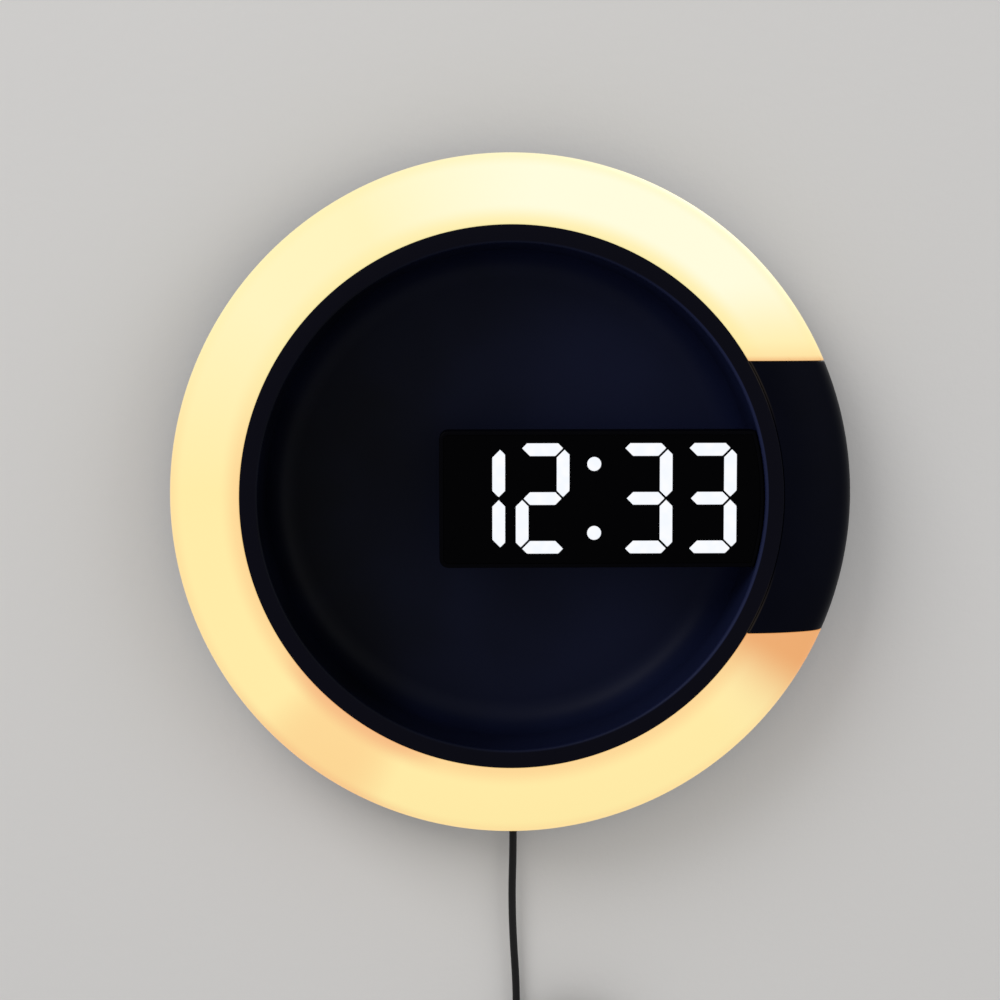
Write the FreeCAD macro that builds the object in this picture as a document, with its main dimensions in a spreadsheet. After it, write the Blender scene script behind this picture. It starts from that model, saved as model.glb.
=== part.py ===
import FreeCAD, Part
import math
import os

import Sketcher

# Digital wall clock with a lit C-shaped ring, a deep round bowl and a display slab that reaches into it.
# The clock faces -Y, hangs on a wall at y = 0 and stands upright along +Z. The origin is on its back face, on the
# ring's axis. Depth means distance in front of the wall, so a point at depth d has y = -d.

SIZES = (
    # Lit ring
    ("ring_radius", 130.0),
    ("body_depth", 42.0),
    ("band_width", 27.5),
    ("dome_drop", 17.0),
    ("dome_shoulder", 7.0),
    ("diffuser_wall", 2.2),
    ("rim_height", 4.0),
    ("leg_wall", 1.8),
    ("seam_gap", 0.2),
    # Front shell with the bowl
    ("bezel_width", 7.1),
    ("bowl_draft", 2.5),
    ("bowl_fillet", 12.0),
    ("floor_depth", 6.0),
    ("shell_wall", 1.8),
    ("lip_round", 1.2),
    ("bezel_wall", 2.0),
    ("skirt_wall", 1.6),
    ("ledge_drop", 4.5),
    ("ledge_wall", 1.5),
    ("ledge_reach", 1.0),
    # Rear housing
    ("housing_inset", 0.4),
    ("housing_wall", 2.2),
    ("housing_edge", 3.0),
    ("back_wall", 2.2),
    ("spigot_height", 3.0),
    ("spigot_wall", 1.6),
    ("keyhole_height", 94.0),
    ("keyhole_radius", 4.5),
    ("keyhole_slot", 2.2),
    ("keyhole_travel", 8.0),
    # Screws and their seats
    ("seat_radius", 5.0),
    ("seat_top", 5.0),
    ("sink_depth", 3.0),
    ("head_radius", 2.8),
    ("head_height", 2.0),
    ("shank_radius", 1.4),
    ("shank_length", 10.0),
    ("screw_clear", 0.2),
    ("thread_clear", 0.05),
    ("boss_radius", 3.7),
    ("shell_screw_turn", 45.0),
    # Side cover
    ("cover_half", 51.3),
    ("cover_end_wall", 1.8),
    ("cover_boss_radius", 3.5),
    ("cover_screw_inset", 8.1),
    ("cover_screw_offset", 2.7),
    # Light of the ring
    ("tray_wall", 1.2),
    ("tray_gap", 0.6),
    ("tray_slope", 1.4),
    ("tray_lift", 2.2),
    ("tray_rim_rise", 1.2),
    ("tray_inner_drop", 6.5),
    ("tray_end_gap", 0.5),
    ("ring_board_width", 11.0),
    ("ring_board_thickness", 1.2),
    ("ring_board_end_gap", 0.4),
    ("led_side", 5.0),
    ("led_height", 1.6),
    ("led_span", 297.0),
    # Display slab
    ("display_reach", 122.8),
    ("display_middle", -0.4),
    ("display_height", 51.6),
    ("display_corner", 3.4),
    ("case_wall", 1.5),
    ("case_sunk", 1.6),
    ("case_depth", 14.4),
    ("case_back_wall", 1.6),
    ("case_end_gap", 0.3),
    ("window_thickness", 2.0),
    ("window_recess", 0.2),
    ("window_gap", 0.15),
    ("reflector_height", 6.0),
    ("reflector_margin", 2.2),
    ("display_board_thickness", 1.6),
    ("neck_half", 17.0),
    ("neck_rise", 1.0),
    ("neck_height", 8.5),
    ("neck_clear", 0.2),
    ("post_radius", 4.0),
    ("post_z", 9.0),
    ("post_web", 3.0),
    ("tunnel_half", 6.0),
    ("tunnel_height", 2.5),
    ("neck_inset", 12.8),
    ("ribbon_inset", 13.4),
    ("driver_inset", 57.4),
    ("driver_length", 16.0),
    # Digits
    ("digit_height", 41.5),
    ("digit_width", 20.1),
    ("digit_pitch", 24.2),
    ("digits_margin", 10.9),
    ("digits_middle", -0.1),
    ("colon_room", 18.7),
    ("colon_rise", 13.0),
    ("colon_radius", 2.6),
    ("segment_width", 4.7),
    ("segment_gap", 0.85),
    ("segment_corner", 4.2),
    ("cap_height", 4.0),
    ("cap_proud", 0.05),
    ("cap_gap", 0.06),
    ("receiver_inset", 4.4),
    ("receiver_z", -16.2),
    # Main board behind the side cover
    ("side_inset", 17.5),
    ("main_board_width", 14.0),
    ("main_board_inset", 12.3),
    ("main_board_depth", 12.3),
    ("main_board_thickness", 1.6),
    ("main_board_gap", 0.3),
    ("buzzer_inset", 11.0),
    ("capacitor_inset", 25.0),
    ("thermistor_inset", 17.0),
    ("standoff_radius", 2.4),
    ("small_head_radius", 1.9),
    ("small_head_height", 1.3),
    ("small_shank_radius", 1.0),
    ("small_shank_length", 6.0),
    # Rear buttons
    ("button_top", 30.0),
    ("button_pitch", 11.0),
    ("button_radius", 3.5),
    ("button_sunk", 0.3),
    ("button_flange", 4.4),
    ("button_flange_height", 1.0),
    ("button_stem", 1.5),
    ("button_gap", 0.3),
    ("button_travel", 0.5),
    ("switch_side", 6.0),
    ("switch_height", 3.5),
    ("plunger_radius", 1.7),
    ("plunger_height", 0.6),
    # Coin cell and its cap
    ("cell_offset", 3.0),
    ("cell_z", -24.0),
    ("cell_radius", 10.0),
    ("cell_height", 3.2),
    ("cell_step", 0.4),
    ("cap_thickness", 2.3),
    ("cap_sunk", 0.3),
    ("cap_play", 0.3),
    ("cap_rim", 0.6),
    ("well_wall", 1.6),
    ("well_drop", 0.5),
    ("lug_reach", 1.0),
    ("lug_height", 0.9),
    ("lug_half", 2.4),
    ("cap_turn", 30.0),
    ("coin_slot_half", 0.9),
    ("coin_slot_length", 13.0),
    ("coin_slot_depth", 1.1),
    ("contact_wall", 0.3),
    ("contact_half", 1.5),
    # Wires inside
    ("wire_radius", 0.5),
    ("ribbon_wall", 0.3),
    ("ribbon_bend", 2.0),
    # Lead
    ("lead_radius", 1.5),
    ("lead_x", 1.2),
    ("lead_depth", 5.2),
    ("grommet_neck", 2.3),
    ("grommet_collar", 3.2),
    ("grommet_length", 4.4),
    ("grommet_flange", 1.6),
    ("coil_radius", 22.5),
    ("coil_pitch", 3.5),
    ("coil_depth", 3.0),
    ("coil_top", -225.5),
    ("coil_entry_x", 2.6),
    ("tie_half", 4.0),
    ("tie_wall", 0.8),
    ("tie_gap", 0.4),
    ("plug_x", -0.4),
    ("plug_depth", 9.0),
    ("plug_top", -260.0),
    ("plug_width", 15.4),
    ("plug_thickness", 7.6),
    ("plug_length", 19.0),
    ("boot_length", 4.0),
    ("boot_radius", 2.6),
    ("usb_width", 12.0),
    ("usb_thickness", 4.5),
    ("usb_length", 12.0),
    ("usb_wall", 0.35),
    ("tongue_width", 10.6),
    ("tongue_thickness", 1.8),
)

RING_LEDS = 40
SHELL_SCREWS = 4
SEGMENTS_LIT = {"1": "bc", "2": "abged", "3": "abgcd"}
SEGMENTS_BUILT = ("bc", "abcdefg", "abcdefg", "abcdefg")
COIL_LAYERS = 4
QUARTERS_PER_LAYER = 13

doc = FreeCAD.newDocument("DigitalWallClock")
sheet = doc.addObject("Spreadsheet::Sheet", "sizes")


class Size:
    """A number that keeps the spreadsheet expression it comes from."""

    def __init__(self, value, text):
        self.value = value
        self.text = text

    def __add__(self, other):
        other = size(other)
        return Size(self.value + other.value, f"({self.text} + {other.text})")

    def __sub__(self, other):
        other = size(other)
        return Size(self.value - other.value, f"({self.text} - {other.text})")

    def __mul__(self, other):
        other = size(other)
        return Size(self.value * other.value, f"({self.text} * {other.text})")

    def __truediv__(self, other):
        other = size(other)
        return Size(self.value / other.value, f"({self.text} / {other.text})")

    def __radd__(self, other):
        return size(other) + self

    def __rsub__(self, other):
        return size(other) - self

    def __rmul__(self, other):
        return size(other) * self

    def __neg__(self):
        return Size(-self.value, f"(0 - {self.text})")


def size(number):
    """A Size, also from a plain number."""
    if isinstance(number, Size):
        return number
    return Size(float(number), f"({float(number):.10g})")


def root(number):
    """The square root of a Size."""
    return Size(math.sqrt(number.value), f"sqrt({number.text})")


def sine(angle):
    """The sine of a Size in degrees."""
    return Size(math.sin(math.radians(angle.value)), f"sin({angle.text} * 1 deg)")


def cosine(angle):
    """The cosine of a Size in degrees."""
    return Size(math.cos(math.radians(angle.value)), f"cos({angle.text} * 1 deg)")


class Sizes:
    """Fills the spreadsheet and hands out its cells by name."""

    def __init__(self, rows):
        self.cells = {}
        for number, (name, value) in enumerate(rows, start=1):
            sheet.set(f"A{number}", name)
            sheet.set(f"B{number}", f"{value:.10g}")
            sheet.setAlias(f"B{number}", name)
            self.cells[name] = Size(value, f"sizes.{name}")
        doc.recompute()

    def __getattr__(self, name):
        return self.cells[name]


S = Sizes(SIZES)
NODES = {}


def bind(thing, **fields):
    """Ties plain properties of an object to the sheet."""
    for field, value in fields.items():
        thing.setExpression(field, size(value).text)


def place(thing, x, y, z):
    """Ties an object's position to the sheet."""
    for axis, value in zip("xyz", (x, y, z)):
        thing.setExpression(f"Placement.Base.{axis}", size(value).text)


def node(label, thing):
    """Names a finished sub-part."""
    thing.Label = label
    NODES[label] = thing
    return thing


def block(label, low, high):
    """A box between two corners, each given as (x, depth, z)."""
    box = doc.addObject("Part::Box", label)
    bind(box, Length=high[0] - low[0], Width=high[1] - low[1], Height=high[2] - low[2])
    place(box, low[0], -size(high[1]), low[2])
    return box


def rod(label, x, z, radius, low, high):
    """A round bar along the clock's axis, between two depths."""
    bar = doc.addObject("Part::Cylinder", label)
    bar.Placement = FreeCAD.Placement(FreeCAD.Vector(), FreeCAD.Rotation(FreeCAD.Vector(1, 0, 0), 90))
    bind(bar, Radius=radius, Height=size(high) - low)
    place(bar, x, -size(low), z)
    return bar


def upright(label, x, depth, radius, low, high, top_radius=None):
    """A round or tapered bar along Z."""
    kind = "Part::Cylinder" if top_radius is None else "Part::Cone"
    bar = doc.addObject(kind, label)
    if top_radius is None:
        bind(bar, Radius=radius, Height=size(high) - low)
    else:
        bind(bar, Radius1=radius, Radius2=top_radius, Height=size(high) - low)
    place(bar, x, -size(depth), low)
    return bar


def cut(label, base, tools):
    """The base with the tools taken away."""
    tools = list(tools)
    result = doc.addObject("Part::Cut", label)
    result.Base = base
    result.Tool = tools[0] if len(tools) == 1 else fuse(f"{label}_tools", tools)
    return result


def fuse(label, shapes):
    """One solid from overlapping or touching ones."""
    result = doc.addObject("Part::MultiFuse", label)
    result.Shapes = list(shapes)
    result.Refine = True
    return result


def common(label, shapes):
    """What several solids share."""
    result = doc.addObject("Part::MultiCommon", label)
    result.Shapes = list(shapes)
    return result


def group(label, shapes):
    """Separate solids that share one node."""
    result = doc.addObject("Part::Compound", label)
    result.Links = list(shapes)
    return result


def origin_plane(body, role):
    """The body's own plane with this role."""
    return next(plane for plane in body.Origin.OriginFeatures if plane.Role == role)


def start_sketch(body, role, label, offset=None, turn=None):
    """A sketch on one of the body's planes, moved along its normal and turned about it when asked."""
    sketch = body.newObject("Sketcher::SketchObject", label)
    sketch.AttachmentSupport = [(origin_plane(body, role), "")]
    sketch.MapMode = "FlatFace"
    if offset is not None:
        sketch.setExpression("AttachmentOffset.Base.z", size(offset).text)
    if turn is not None:
        sketch.setExpression("AttachmentOffset.Rotation.Angle", size(turn).text)
    return sketch


def tie_point(sketch, geometry, end, x, y):
    """Fixes one point of a sketch by two dimensions from its origin."""
    for kind, value in (("DistanceX", size(x)), ("DistanceY", size(y))):
        number = sketch.addConstraint(Sketcher.Constraint(kind, -1, 1, geometry, end, value.value))
        sketch.setExpression(f"Constraints[{number}]", value.text)


def tie_radius(sketch, geometry, radius):
    """Fixes the radius of a circle or an arc."""
    number = sketch.addConstraint(Sketcher.Constraint("Radius", geometry, radius.value))
    sketch.setExpression(f"Constraints[{number}]", radius.text)


def draw_circle(sketch, x, y, radius):
    """Adds one circle to a sketch."""
    x, y, radius = size(x), size(y), size(radius)
    centre = FreeCAD.Vector(x.value, y.value, 0)
    geometry = sketch.addGeometry(Part.Circle(centre, FreeCAD.Vector(0, 0, 1), radius.value))
    tie_point(sketch, geometry, 3, x, y)
    tie_radius(sketch, geometry, radius)


def draw_outline(sketch, path):
    """Adds a closed outline. Each step is (x, y), or (x, y, radius, side) where an arc leads to the next point,
    with its centre to the left of the way (side 1) or to the right (side -1)."""
    steps = [(size(step[0]), size(step[1]), *step[2:]) for step in path]
    first = None
    last = None
    for step, follower in zip(steps, steps[1:] + steps[:1]):
        start = FreeCAD.Vector(step[0].value, step[1].value, 0)
        end = FreeCAD.Vector(follower[0].value, follower[1].value, 0)
        if len(step) == 2:
            geometry = sketch.addGeometry(Part.LineSegment(start, end))
            ends = (1, 2)
        else:
            radius, side = size(step[2]), step[3]
            chord = end - start
            left = FreeCAD.Vector(-chord.y, chord.x, 0) / chord.Length
            rise = math.sqrt(max(radius.value**2 - chord.Length**2 / 4, 0.0))
            centre = (start + end) / 2 + left * rise * side
            ends = (1, 2) if side > 0 else (2, 1)
            near, far = (start, end) if side > 0 else (end, start)
            angles = [math.atan2(point.y - centre.y, point.x - centre.x) for point in (near, far)]
            circle = Part.Circle(centre, FreeCAD.Vector(0, 0, 1), radius.value)
            geometry = sketch.addGeometry(Part.ArcOfCircle(circle, *angles))
            tie_radius(sketch, geometry, radius)
        tie_point(sketch, geometry, ends[0], step[0], step[1])
        if last:
            sketch.addConstraint(Sketcher.Constraint("Coincident", last[0], last[1], geometry, ends[0]))
        first = first or (geometry, ends[0])
        last = (geometry, ends[1])
    sketch.addConstraint(Sketcher.Constraint("Coincident", last[0], last[1], first[0], first[1]))


def turned(label, path):
    """A body turned about the clock's axis from an outline of (radius, depth) steps."""
    body = doc.addObject("PartDesign::Body", label)
    sketch = start_sketch(body, "XY_Plane", f"{label}_profile")
    # Depth runs along -Y, which swaps left and right along the way.
    draw_outline(sketch, [(step[0], -size(step[1]), *((step[2], -step[3]) if len(step) > 2 else ())) for step in path])
    feature = body.newObject("PartDesign::Revolution", f"{label}_turned")
    feature.Profile = (sketch, [""])
    feature.ReferenceAxis = (sketch, ["V_Axis"])
    feature.Angle = 360
    return body


def pad_on(body, label, sketch, length):
    """Pads a sketch forward from the wall's side."""
    pad = body.newObject("PartDesign::Pad", label)
    pad.Profile = (sketch, [""])
    bind(pad, Length=length)
    return pad


def pocket_on(body, label, sketch, length, forward=False):
    """Cuts a sketch into the body, towards the wall unless forward."""
    pocket = body.newObject("PartDesign::Pocket", label)
    pocket.Profile = (sketch, [""])
    pocket.Reversed = forward
    bind(pocket, Length=length)
    return pocket


def repeated(body, label, features, count):
    """Repeats features round the clock's axis."""
    pattern = body.newObject("PartDesign::PolarPattern", label)
    pattern.Originals = features
    axis = next(line for line in body.Origin.OriginFeatures if line.Role == "Y_Axis")
    pattern.Axis = (axis, [""])
    pattern.Angle = 360
    pattern.Occurrences = count
    body.Tip = pattern
    return pattern


def strip(label, path, low, high):
    """A body drawn in (x, depth) steps and padded along Z between two heights."""
    body = doc.addObject("PartDesign::Body", label)
    sketch = start_sketch(body, "XY_Plane", f"{label}_profile", low)
    draw_outline(sketch, [(step[0], -size(step[1]), *((step[2], -step[3]) if len(step) > 2 else ())) for step in path])
    pad_on(body, f"{label}_pad", sketch, size(high) - low)
    return body


def front_sketch(body, label, depth, turn=None):
    """A sketch that faces the front at a depth, with X across and Z up."""
    return start_sketch(body, "XZ_Plane", label, depth, turn)


def round_pads(body, label, depth, length, spots, radius):
    """Pads round bars forward from a depth at several (x, z) spots."""
    sketch = front_sketch(body, f"{label}_sketch", depth)
    for x, z in spots:
        draw_circle(sketch, x, z, radius)
    return pad_on(body, label, sketch, length)


def round_pockets(body, label, depth, length, spots, radius, forward=False):
    """Cuts round holes from a depth towards the wall, or forward, at several (x, z) spots."""
    sketch = front_sketch(body, f"{label}_sketch", depth)
    for x, z in spots:
        draw_circle(sketch, x, z, radius)
    return pocket_on(body, label, sketch, length, forward)


# Derived places that several pieces share

BAND_INNER = S.ring_radius - S.band_width
BOWL_RADIUS = BAND_INNER - S.bezel_width
DIFFUSER_SEAT = S.body_depth - S.dome_drop - S.rim_height
SIDE_X = S.ring_radius - S.side_inset
HOUSING_RADIUS = S.ring_radius - S.housing_inset
HOUSING_INNER = HOUSING_RADIUS - S.housing_wall
SPIGOT_RADIUS = S.ring_radius - S.diffuser_wall - S.seam_gap
SPIGOT_INNER = SPIGOT_RADIUS - S.spigot_wall
BEZEL_RADIUS = BAND_INNER - S.seam_gap
LEDGE_TOP = S.body_depth - S.ledge_drop
LEDGE_BOTTOM = LEDGE_TOP - S.ledge_wall
LEDGE_RADIUS = BAND_INNER + S.leg_wall + S.ledge_reach
SHELL_SCREW_CIRCLE = LEDGE_RADIUS - S.boss_radius - S.seam_gap
SCREW_HOLE = S.shank_radius + S.screw_clear
HEAD_HOLE = S.head_radius + S.screw_clear
PILOT = S.shank_radius + S.thread_clear
SCREW_TIP = S.sink_depth + S.shank_length

TRAY_INNER_TOP = LEDGE_RADIUS + S.tray_gap
TRAY_INNER = TRAY_INNER_TOP + S.tray_slope
TRAY_OUTER = SPIGOT_INNER - S.tray_gap
TRAY_FLOOR = S.back_wall + S.tray_lift
TRAY_TOP = S.body_depth - S.tray_inner_drop
TRAY_HALF = S.cover_half + S.seam_gap + S.tray_end_gap
RING_MIDDLE = (BAND_INNER + S.ring_radius) / 2
RING_BOARD_BACK = TRAY_FLOOR + S.tray_wall
RING_BOARD_FRONT = RING_BOARD_BACK + S.ring_board_thickness
RING_BOARD_HALF = TRAY_HALF + S.tray_wall + S.ring_board_end_gap

DISPLAY_LEFT = BOWL_RADIUS - S.display_reach
DIGITS_RIGHT = BOWL_RADIUS - S.digits_margin
RECEIVER_X = DISPLAY_LEFT + S.receiver_inset
CASE_FRONT = S.body_depth - S.case_sunk
CASE_BACK = CASE_FRONT - S.case_depth
CASE_INNER = CASE_BACK + S.case_back_wall
WINDOW_FRONT = CASE_FRONT - S.window_recess
WINDOW_BACK = WINDOW_FRONT - S.window_thickness
DISPLAY_BOARD_FRONT = WINDOW_BACK - S.reflector_height
DISPLAY_BOARD_BACK = DISPLAY_BOARD_FRONT - S.display_board_thickness
DISPLAY_TOP = S.display_middle + S.display_height / 2
DISPLAY_BOTTOM = S.display_middle - S.display_height / 2
CAP_FRONT = WINDOW_FRONT + S.cap_proud
CAP_BACK = CAP_FRONT - S.cap_height

MAIN_BOARD_LEFT = SIDE_X - S.main_board_width / 2
MAIN_BOARD_RIGHT = SIDE_X + S.main_board_width / 2
MAIN_BOARD_FRONT = S.main_board_depth + S.main_board_thickness
MAIN_BOARD_HALF = S.cover_half - S.main_board_inset
STANDOFFS = (
    (SIDE_X + 5.1, MAIN_BOARD_HALF - 2.2),
    (SIDE_X + 5.1, -MAIN_BOARD_HALF + 2.2),
    (SIDE_X - 4.6, -S.post_z),
)
COVER_SCREW_X = SIDE_X - S.cover_screw_offset
COVER_SCREW_Z = S.cover_half - S.cover_screw_inset
COVER_SCREWS = ((COVER_SCREW_X, COVER_SCREW_Z), (COVER_SCREW_X, -COVER_SCREW_Z))
BUTTONS = tuple(
    (name, S.button_top - S.button_pitch * place_in_row)
    for place_in_row, name in enumerate(("set_button", "up_button", "down_button", "lamp_button"))
)
PLUNGER_TIP = S.main_board_depth - S.switch_height - S.plunger_height

NECK_LOW = CASE_BACK + S.neck_rise
NECK_HIGH = NECK_LOW + S.neck_height
NECK_END = MAIN_BOARD_LEFT - S.main_board_gap
POST_X = NECK_END - S.post_radius
POSTS = ((POST_X, S.post_z), (POST_X, -S.post_z))
POST_SINK = NECK_LOW - S.post_web
TUNNEL_LOW = CASE_INNER + 1.4

CELL_X = SIDE_X - S.cell_offset
CAP_RADIUS = S.cell_radius + S.cap_play + S.cap_rim
CAP_FACE = S.cap_sunk + S.cap_thickness
CELL_BACK = CAP_FACE + S.cap_play
CELL_FRONT = CELL_BACK + S.cell_height
LUG_BACK = S.back_wall + S.cap_play
LUG_FRONT = LUG_BACK + S.lug_height
RACE_TOP = LUG_FRONT + S.cap_play
RACE_RADIUS = CAP_RADIUS + S.lug_reach + S.cap_play
WELL_RADIUS = RACE_RADIUS + S.well_wall
WELL_TOP = S.main_board_depth - S.well_drop


def wall_radius(depth):
    """The radius of the bowl's drafted wall at a depth."""
    return BOWL_RADIUS - (S.body_depth - depth) * sine(S.bowl_draft) / cosine(S.bowl_draft)


def dome_outline(inset):
    """The domed section of the ring from its inner edge to its rim, as two tangent arcs, moved in by an inset."""
    width = S.ring_radius - BAND_INNER
    shoulder = S.dome_shoulder
    crown = (width * width + S.dome_drop * S.dome_drop - 2 * S.dome_drop * shoulder) / (2 * width + 2 * shoulder)
    share = crown / (crown + shoulder)
    # The slope where the two arcs meet: so far across for so far down.
    across = (width - crown) / (crown + shoulder)
    down = (S.dome_drop - shoulder) / (crown + shoulder)
    joint_radius = BAND_INNER + crown + (width - crown) * share
    joint_depth = S.body_depth - (S.dome_drop - shoulder) * share
    crown_radius = crown * (1 + across) / down
    rim_radius = shoulder * (1 + down) / across
    return [
        (BAND_INNER, S.body_depth - inset, crown_radius - inset, -1),
        (joint_radius - inset * down, joint_depth - inset * across, rim_radius - inset, -1),
        (S.ring_radius - inset, S.body_depth - S.dome_drop),
    ]


def dome_depth(radius, inset):
    """The depth of the inset dome above a radius, on its wide inner arc or, further out, on its rim arc."""
    crown, joint, rim = dome_outline(inset)
    if radius.value <= joint[0].value:
        reach = radius - BAND_INNER
        return crown[1] - crown[2] + root(crown[2] * crown[2] - reach * reach)
    reach = radius - rim[0] + joint[2]
    return rim[1] + root(joint[2] * joint[2] - reach * reach)


def dome_shell_path():
    """The section of the diffuser and of the side cover: the dome's wall, its rim and its short inner leg."""
    outer = dome_outline(size(0))
    inner = dome_outline(S.diffuser_wall)
    leg_radius = BAND_INNER + S.leg_wall
    return [
        *outer,
        (S.ring_radius, DIFFUSER_SEAT),
        (S.ring_radius - S.diffuser_wall, DIFFUSER_SEAT),
        (*inner[2], inner[1][2], 1),
        (*inner[1][:2], inner[0][2], 1),
        (leg_radius, dome_depth(leg_radius, S.diffuser_wall)),
        (leg_radius, LEDGE_TOP),
        (BAND_INNER, LEDGE_TOP),
    ]


def dome_fill_path(inner_radius, low, inset):
    """The filled section under the dome, from a radius outwards and from a depth forwards."""
    dome = dome_outline(inset)
    return [
        (inner_radius, dome_depth(inner_radius, inset), dome[0][2], -1),
        dome[1],
        dome[2],
        (dome[2][0], low),
        (inner_radius, low),
    ]


# Rear housing: the back plate, its side wall and everything that stands on the plate


def make_rear_housing():
    rim = HOUSING_RADIUS
    spigot_low = DIFFUSER_SEAT - S.spigot_height
    body = turned("housing_body", [
        (0, 0),
        (rim - S.housing_edge, 0, S.housing_edge, 1),
        (rim, S.housing_edge),
        (rim, DIFFUSER_SEAT),
        (SPIGOT_RADIUS, DIFFUSER_SEAT),
        (SPIGOT_RADIUS, DIFFUSER_SEAT + S.spigot_height),
        (SPIGOT_INNER, DIFFUSER_SEAT + S.spigot_height),
        (SPIGOT_INNER, spigot_low),
        (HOUSING_INNER, spigot_low - (HOUSING_INNER - SPIGOT_INNER)),
        (HOUSING_INNER, S.back_wall),
        (0, S.back_wall),
    ])
    plate = S.back_wall
    sketch = front_sketch(body, "shell_seat_sketch", plate, S.shell_screw_turn)
    draw_circle(sketch, SHELL_SCREW_CIRCLE, 0, S.seat_radius)
    seat = pad_on(body, "shell_seat", sketch, S.seat_top - plate)
    repeated(body, "shell_seats", [seat], SHELL_SCREWS)
    round_pads(body, "cover_seats", plate, S.seat_top - plate, COVER_SCREWS, S.seat_radius)
    round_pads(body, "board_standoffs", plate, S.main_board_depth - plate, STANDOFFS, S.standoff_radius)
    round_pads(body, "display_posts", plate, NECK_LOW - plate, POSTS, S.post_radius)
    round_pads(body, "cell_well", plate, WELL_TOP - plate, [(CELL_X, S.cell_z)], WELL_RADIUS)

    # The cell's room, the race that the cap's lugs turn in, and the cap's mouth with a notch for each lug.
    cell_spot = [(CELL_X, S.cell_z)]
    round_pockets(body, "cell_room", WELL_TOP, WELL_TOP - RACE_TOP, cell_spot, S.cell_radius + S.cap_play)
    round_pockets(body, "lug_race", RACE_TOP, RACE_TOP - plate, cell_spot, RACE_RADIUS)
    round_pockets(body, "cap_mouth", plate, plate + 1, cell_spot, CAP_RADIUS + S.cap_play)
    notch = front_sketch(body, "lug_notch_sketch", plate)
    notch_half = S.lug_half + S.cap_play
    draw_outline(notch, [
        (CELL_X - RACE_RADIUS, S.cell_z - notch_half),
        (CELL_X + RACE_RADIUS, S.cell_z - notch_half),
        (CELL_X + RACE_RADIUS, S.cell_z + notch_half),
        (CELL_X - RACE_RADIUS, S.cell_z + notch_half),
    ])
    pocket_on(body, "lug_notches", notch, plate + 1)
    spring_room = front_sketch(body, "contact_room_sketch", WELL_TOP)
    draw_outline(spring_room, [
        (CELL_X + S.cell_radius - 1, S.cell_z - S.contact_half - S.cap_play),
        (CELL_X + RACE_RADIUS, S.cell_z - S.contact_half - S.cap_play),
        (CELL_X + RACE_RADIUS, S.cell_z + S.contact_half + S.cap_play),
        (CELL_X + S.cell_radius - 1, S.cell_z + S.contact_half + S.cap_play),
    ])
    pocket_on(body, "contact_room", spring_room, WELL_TOP - RACE_TOP)

    # Screw holes from the back: a sink for the head and a hole for the shank.
    sink = front_sketch(body, "shell_sink_sketch", S.sink_depth, S.shell_screw_turn)
    draw_circle(sink, SHELL_SCREW_CIRCLE, 0, HEAD_HOLE)
    sink = pocket_on(body, "shell_sink", sink, S.sink_depth + 1)
    hole = front_sketch(body, "shell_hole_sketch", S.seat_top, S.shell_screw_turn)
    draw_circle(hole, SHELL_SCREW_CIRCLE, 0, SCREW_HOLE)
    hole = pocket_on(body, "shell_hole", hole, S.seat_top + 1)
    repeated(body, "shell_holes", [sink, hole], SHELL_SCREWS)
    round_pockets(body, "cover_sinks", S.sink_depth, S.sink_depth + 1, COVER_SCREWS, HEAD_HOLE)
    round_pockets(body, "cover_holes", S.seat_top, S.seat_top + 1, COVER_SCREWS, SCREW_HOLE)
    round_pockets(body, "display_sinks", POST_SINK, POST_SINK + 1, POSTS, HEAD_HOLE)
    round_pockets(body, "display_holes", NECK_LOW, NECK_LOW + 1, POSTS, SCREW_HOLE)
    small_pilot = S.small_shank_radius + S.thread_clear
    round_pockets(body, "standoff_pilots", S.main_board_depth, S.small_shank_length, STANDOFFS, small_pilot)

    spots = [(SIDE_X, z) for name, z in BUTTONS]
    round_pockets(body, "button_holes", plate, plate + 1, spots, S.button_radius + S.button_gap)
    keyhole = [(0, S.keyhole_height)]
    round_pockets(body, "keyhole_entry", plate, plate + 1, keyhole, S.keyhole_radius)
    slot_end = S.keyhole_height + S.keyhole_travel
    round_pockets(body, "keyhole_end", plate, plate + 1, [(0, slot_end)], S.keyhole_slot)
    slot = front_sketch(body, "keyhole_slot_sketch", plate)
    draw_outline(slot, [
        (-S.keyhole_slot, S.keyhole_height),
        (S.keyhole_slot, S.keyhole_height),
        (S.keyhole_slot, slot_end),
        (-S.keyhole_slot, slot_end),
    ])
    pocket_on(body, "keyhole_slot", slot, plate + 1)
    bore = S.grommet_neck + S.thread_clear
    lead_hole = upright("lead_hole", S.lead_x, S.lead_depth, bore, -HOUSING_RADIUS - 2, -SPIGOT_INNER)
    node("rear_housing", cut("housing_with_lead_hole", body, [lead_hole]))


# Front shell: the bowl, the flat dark bezel round it, and the ledge that carries the lit band


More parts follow.
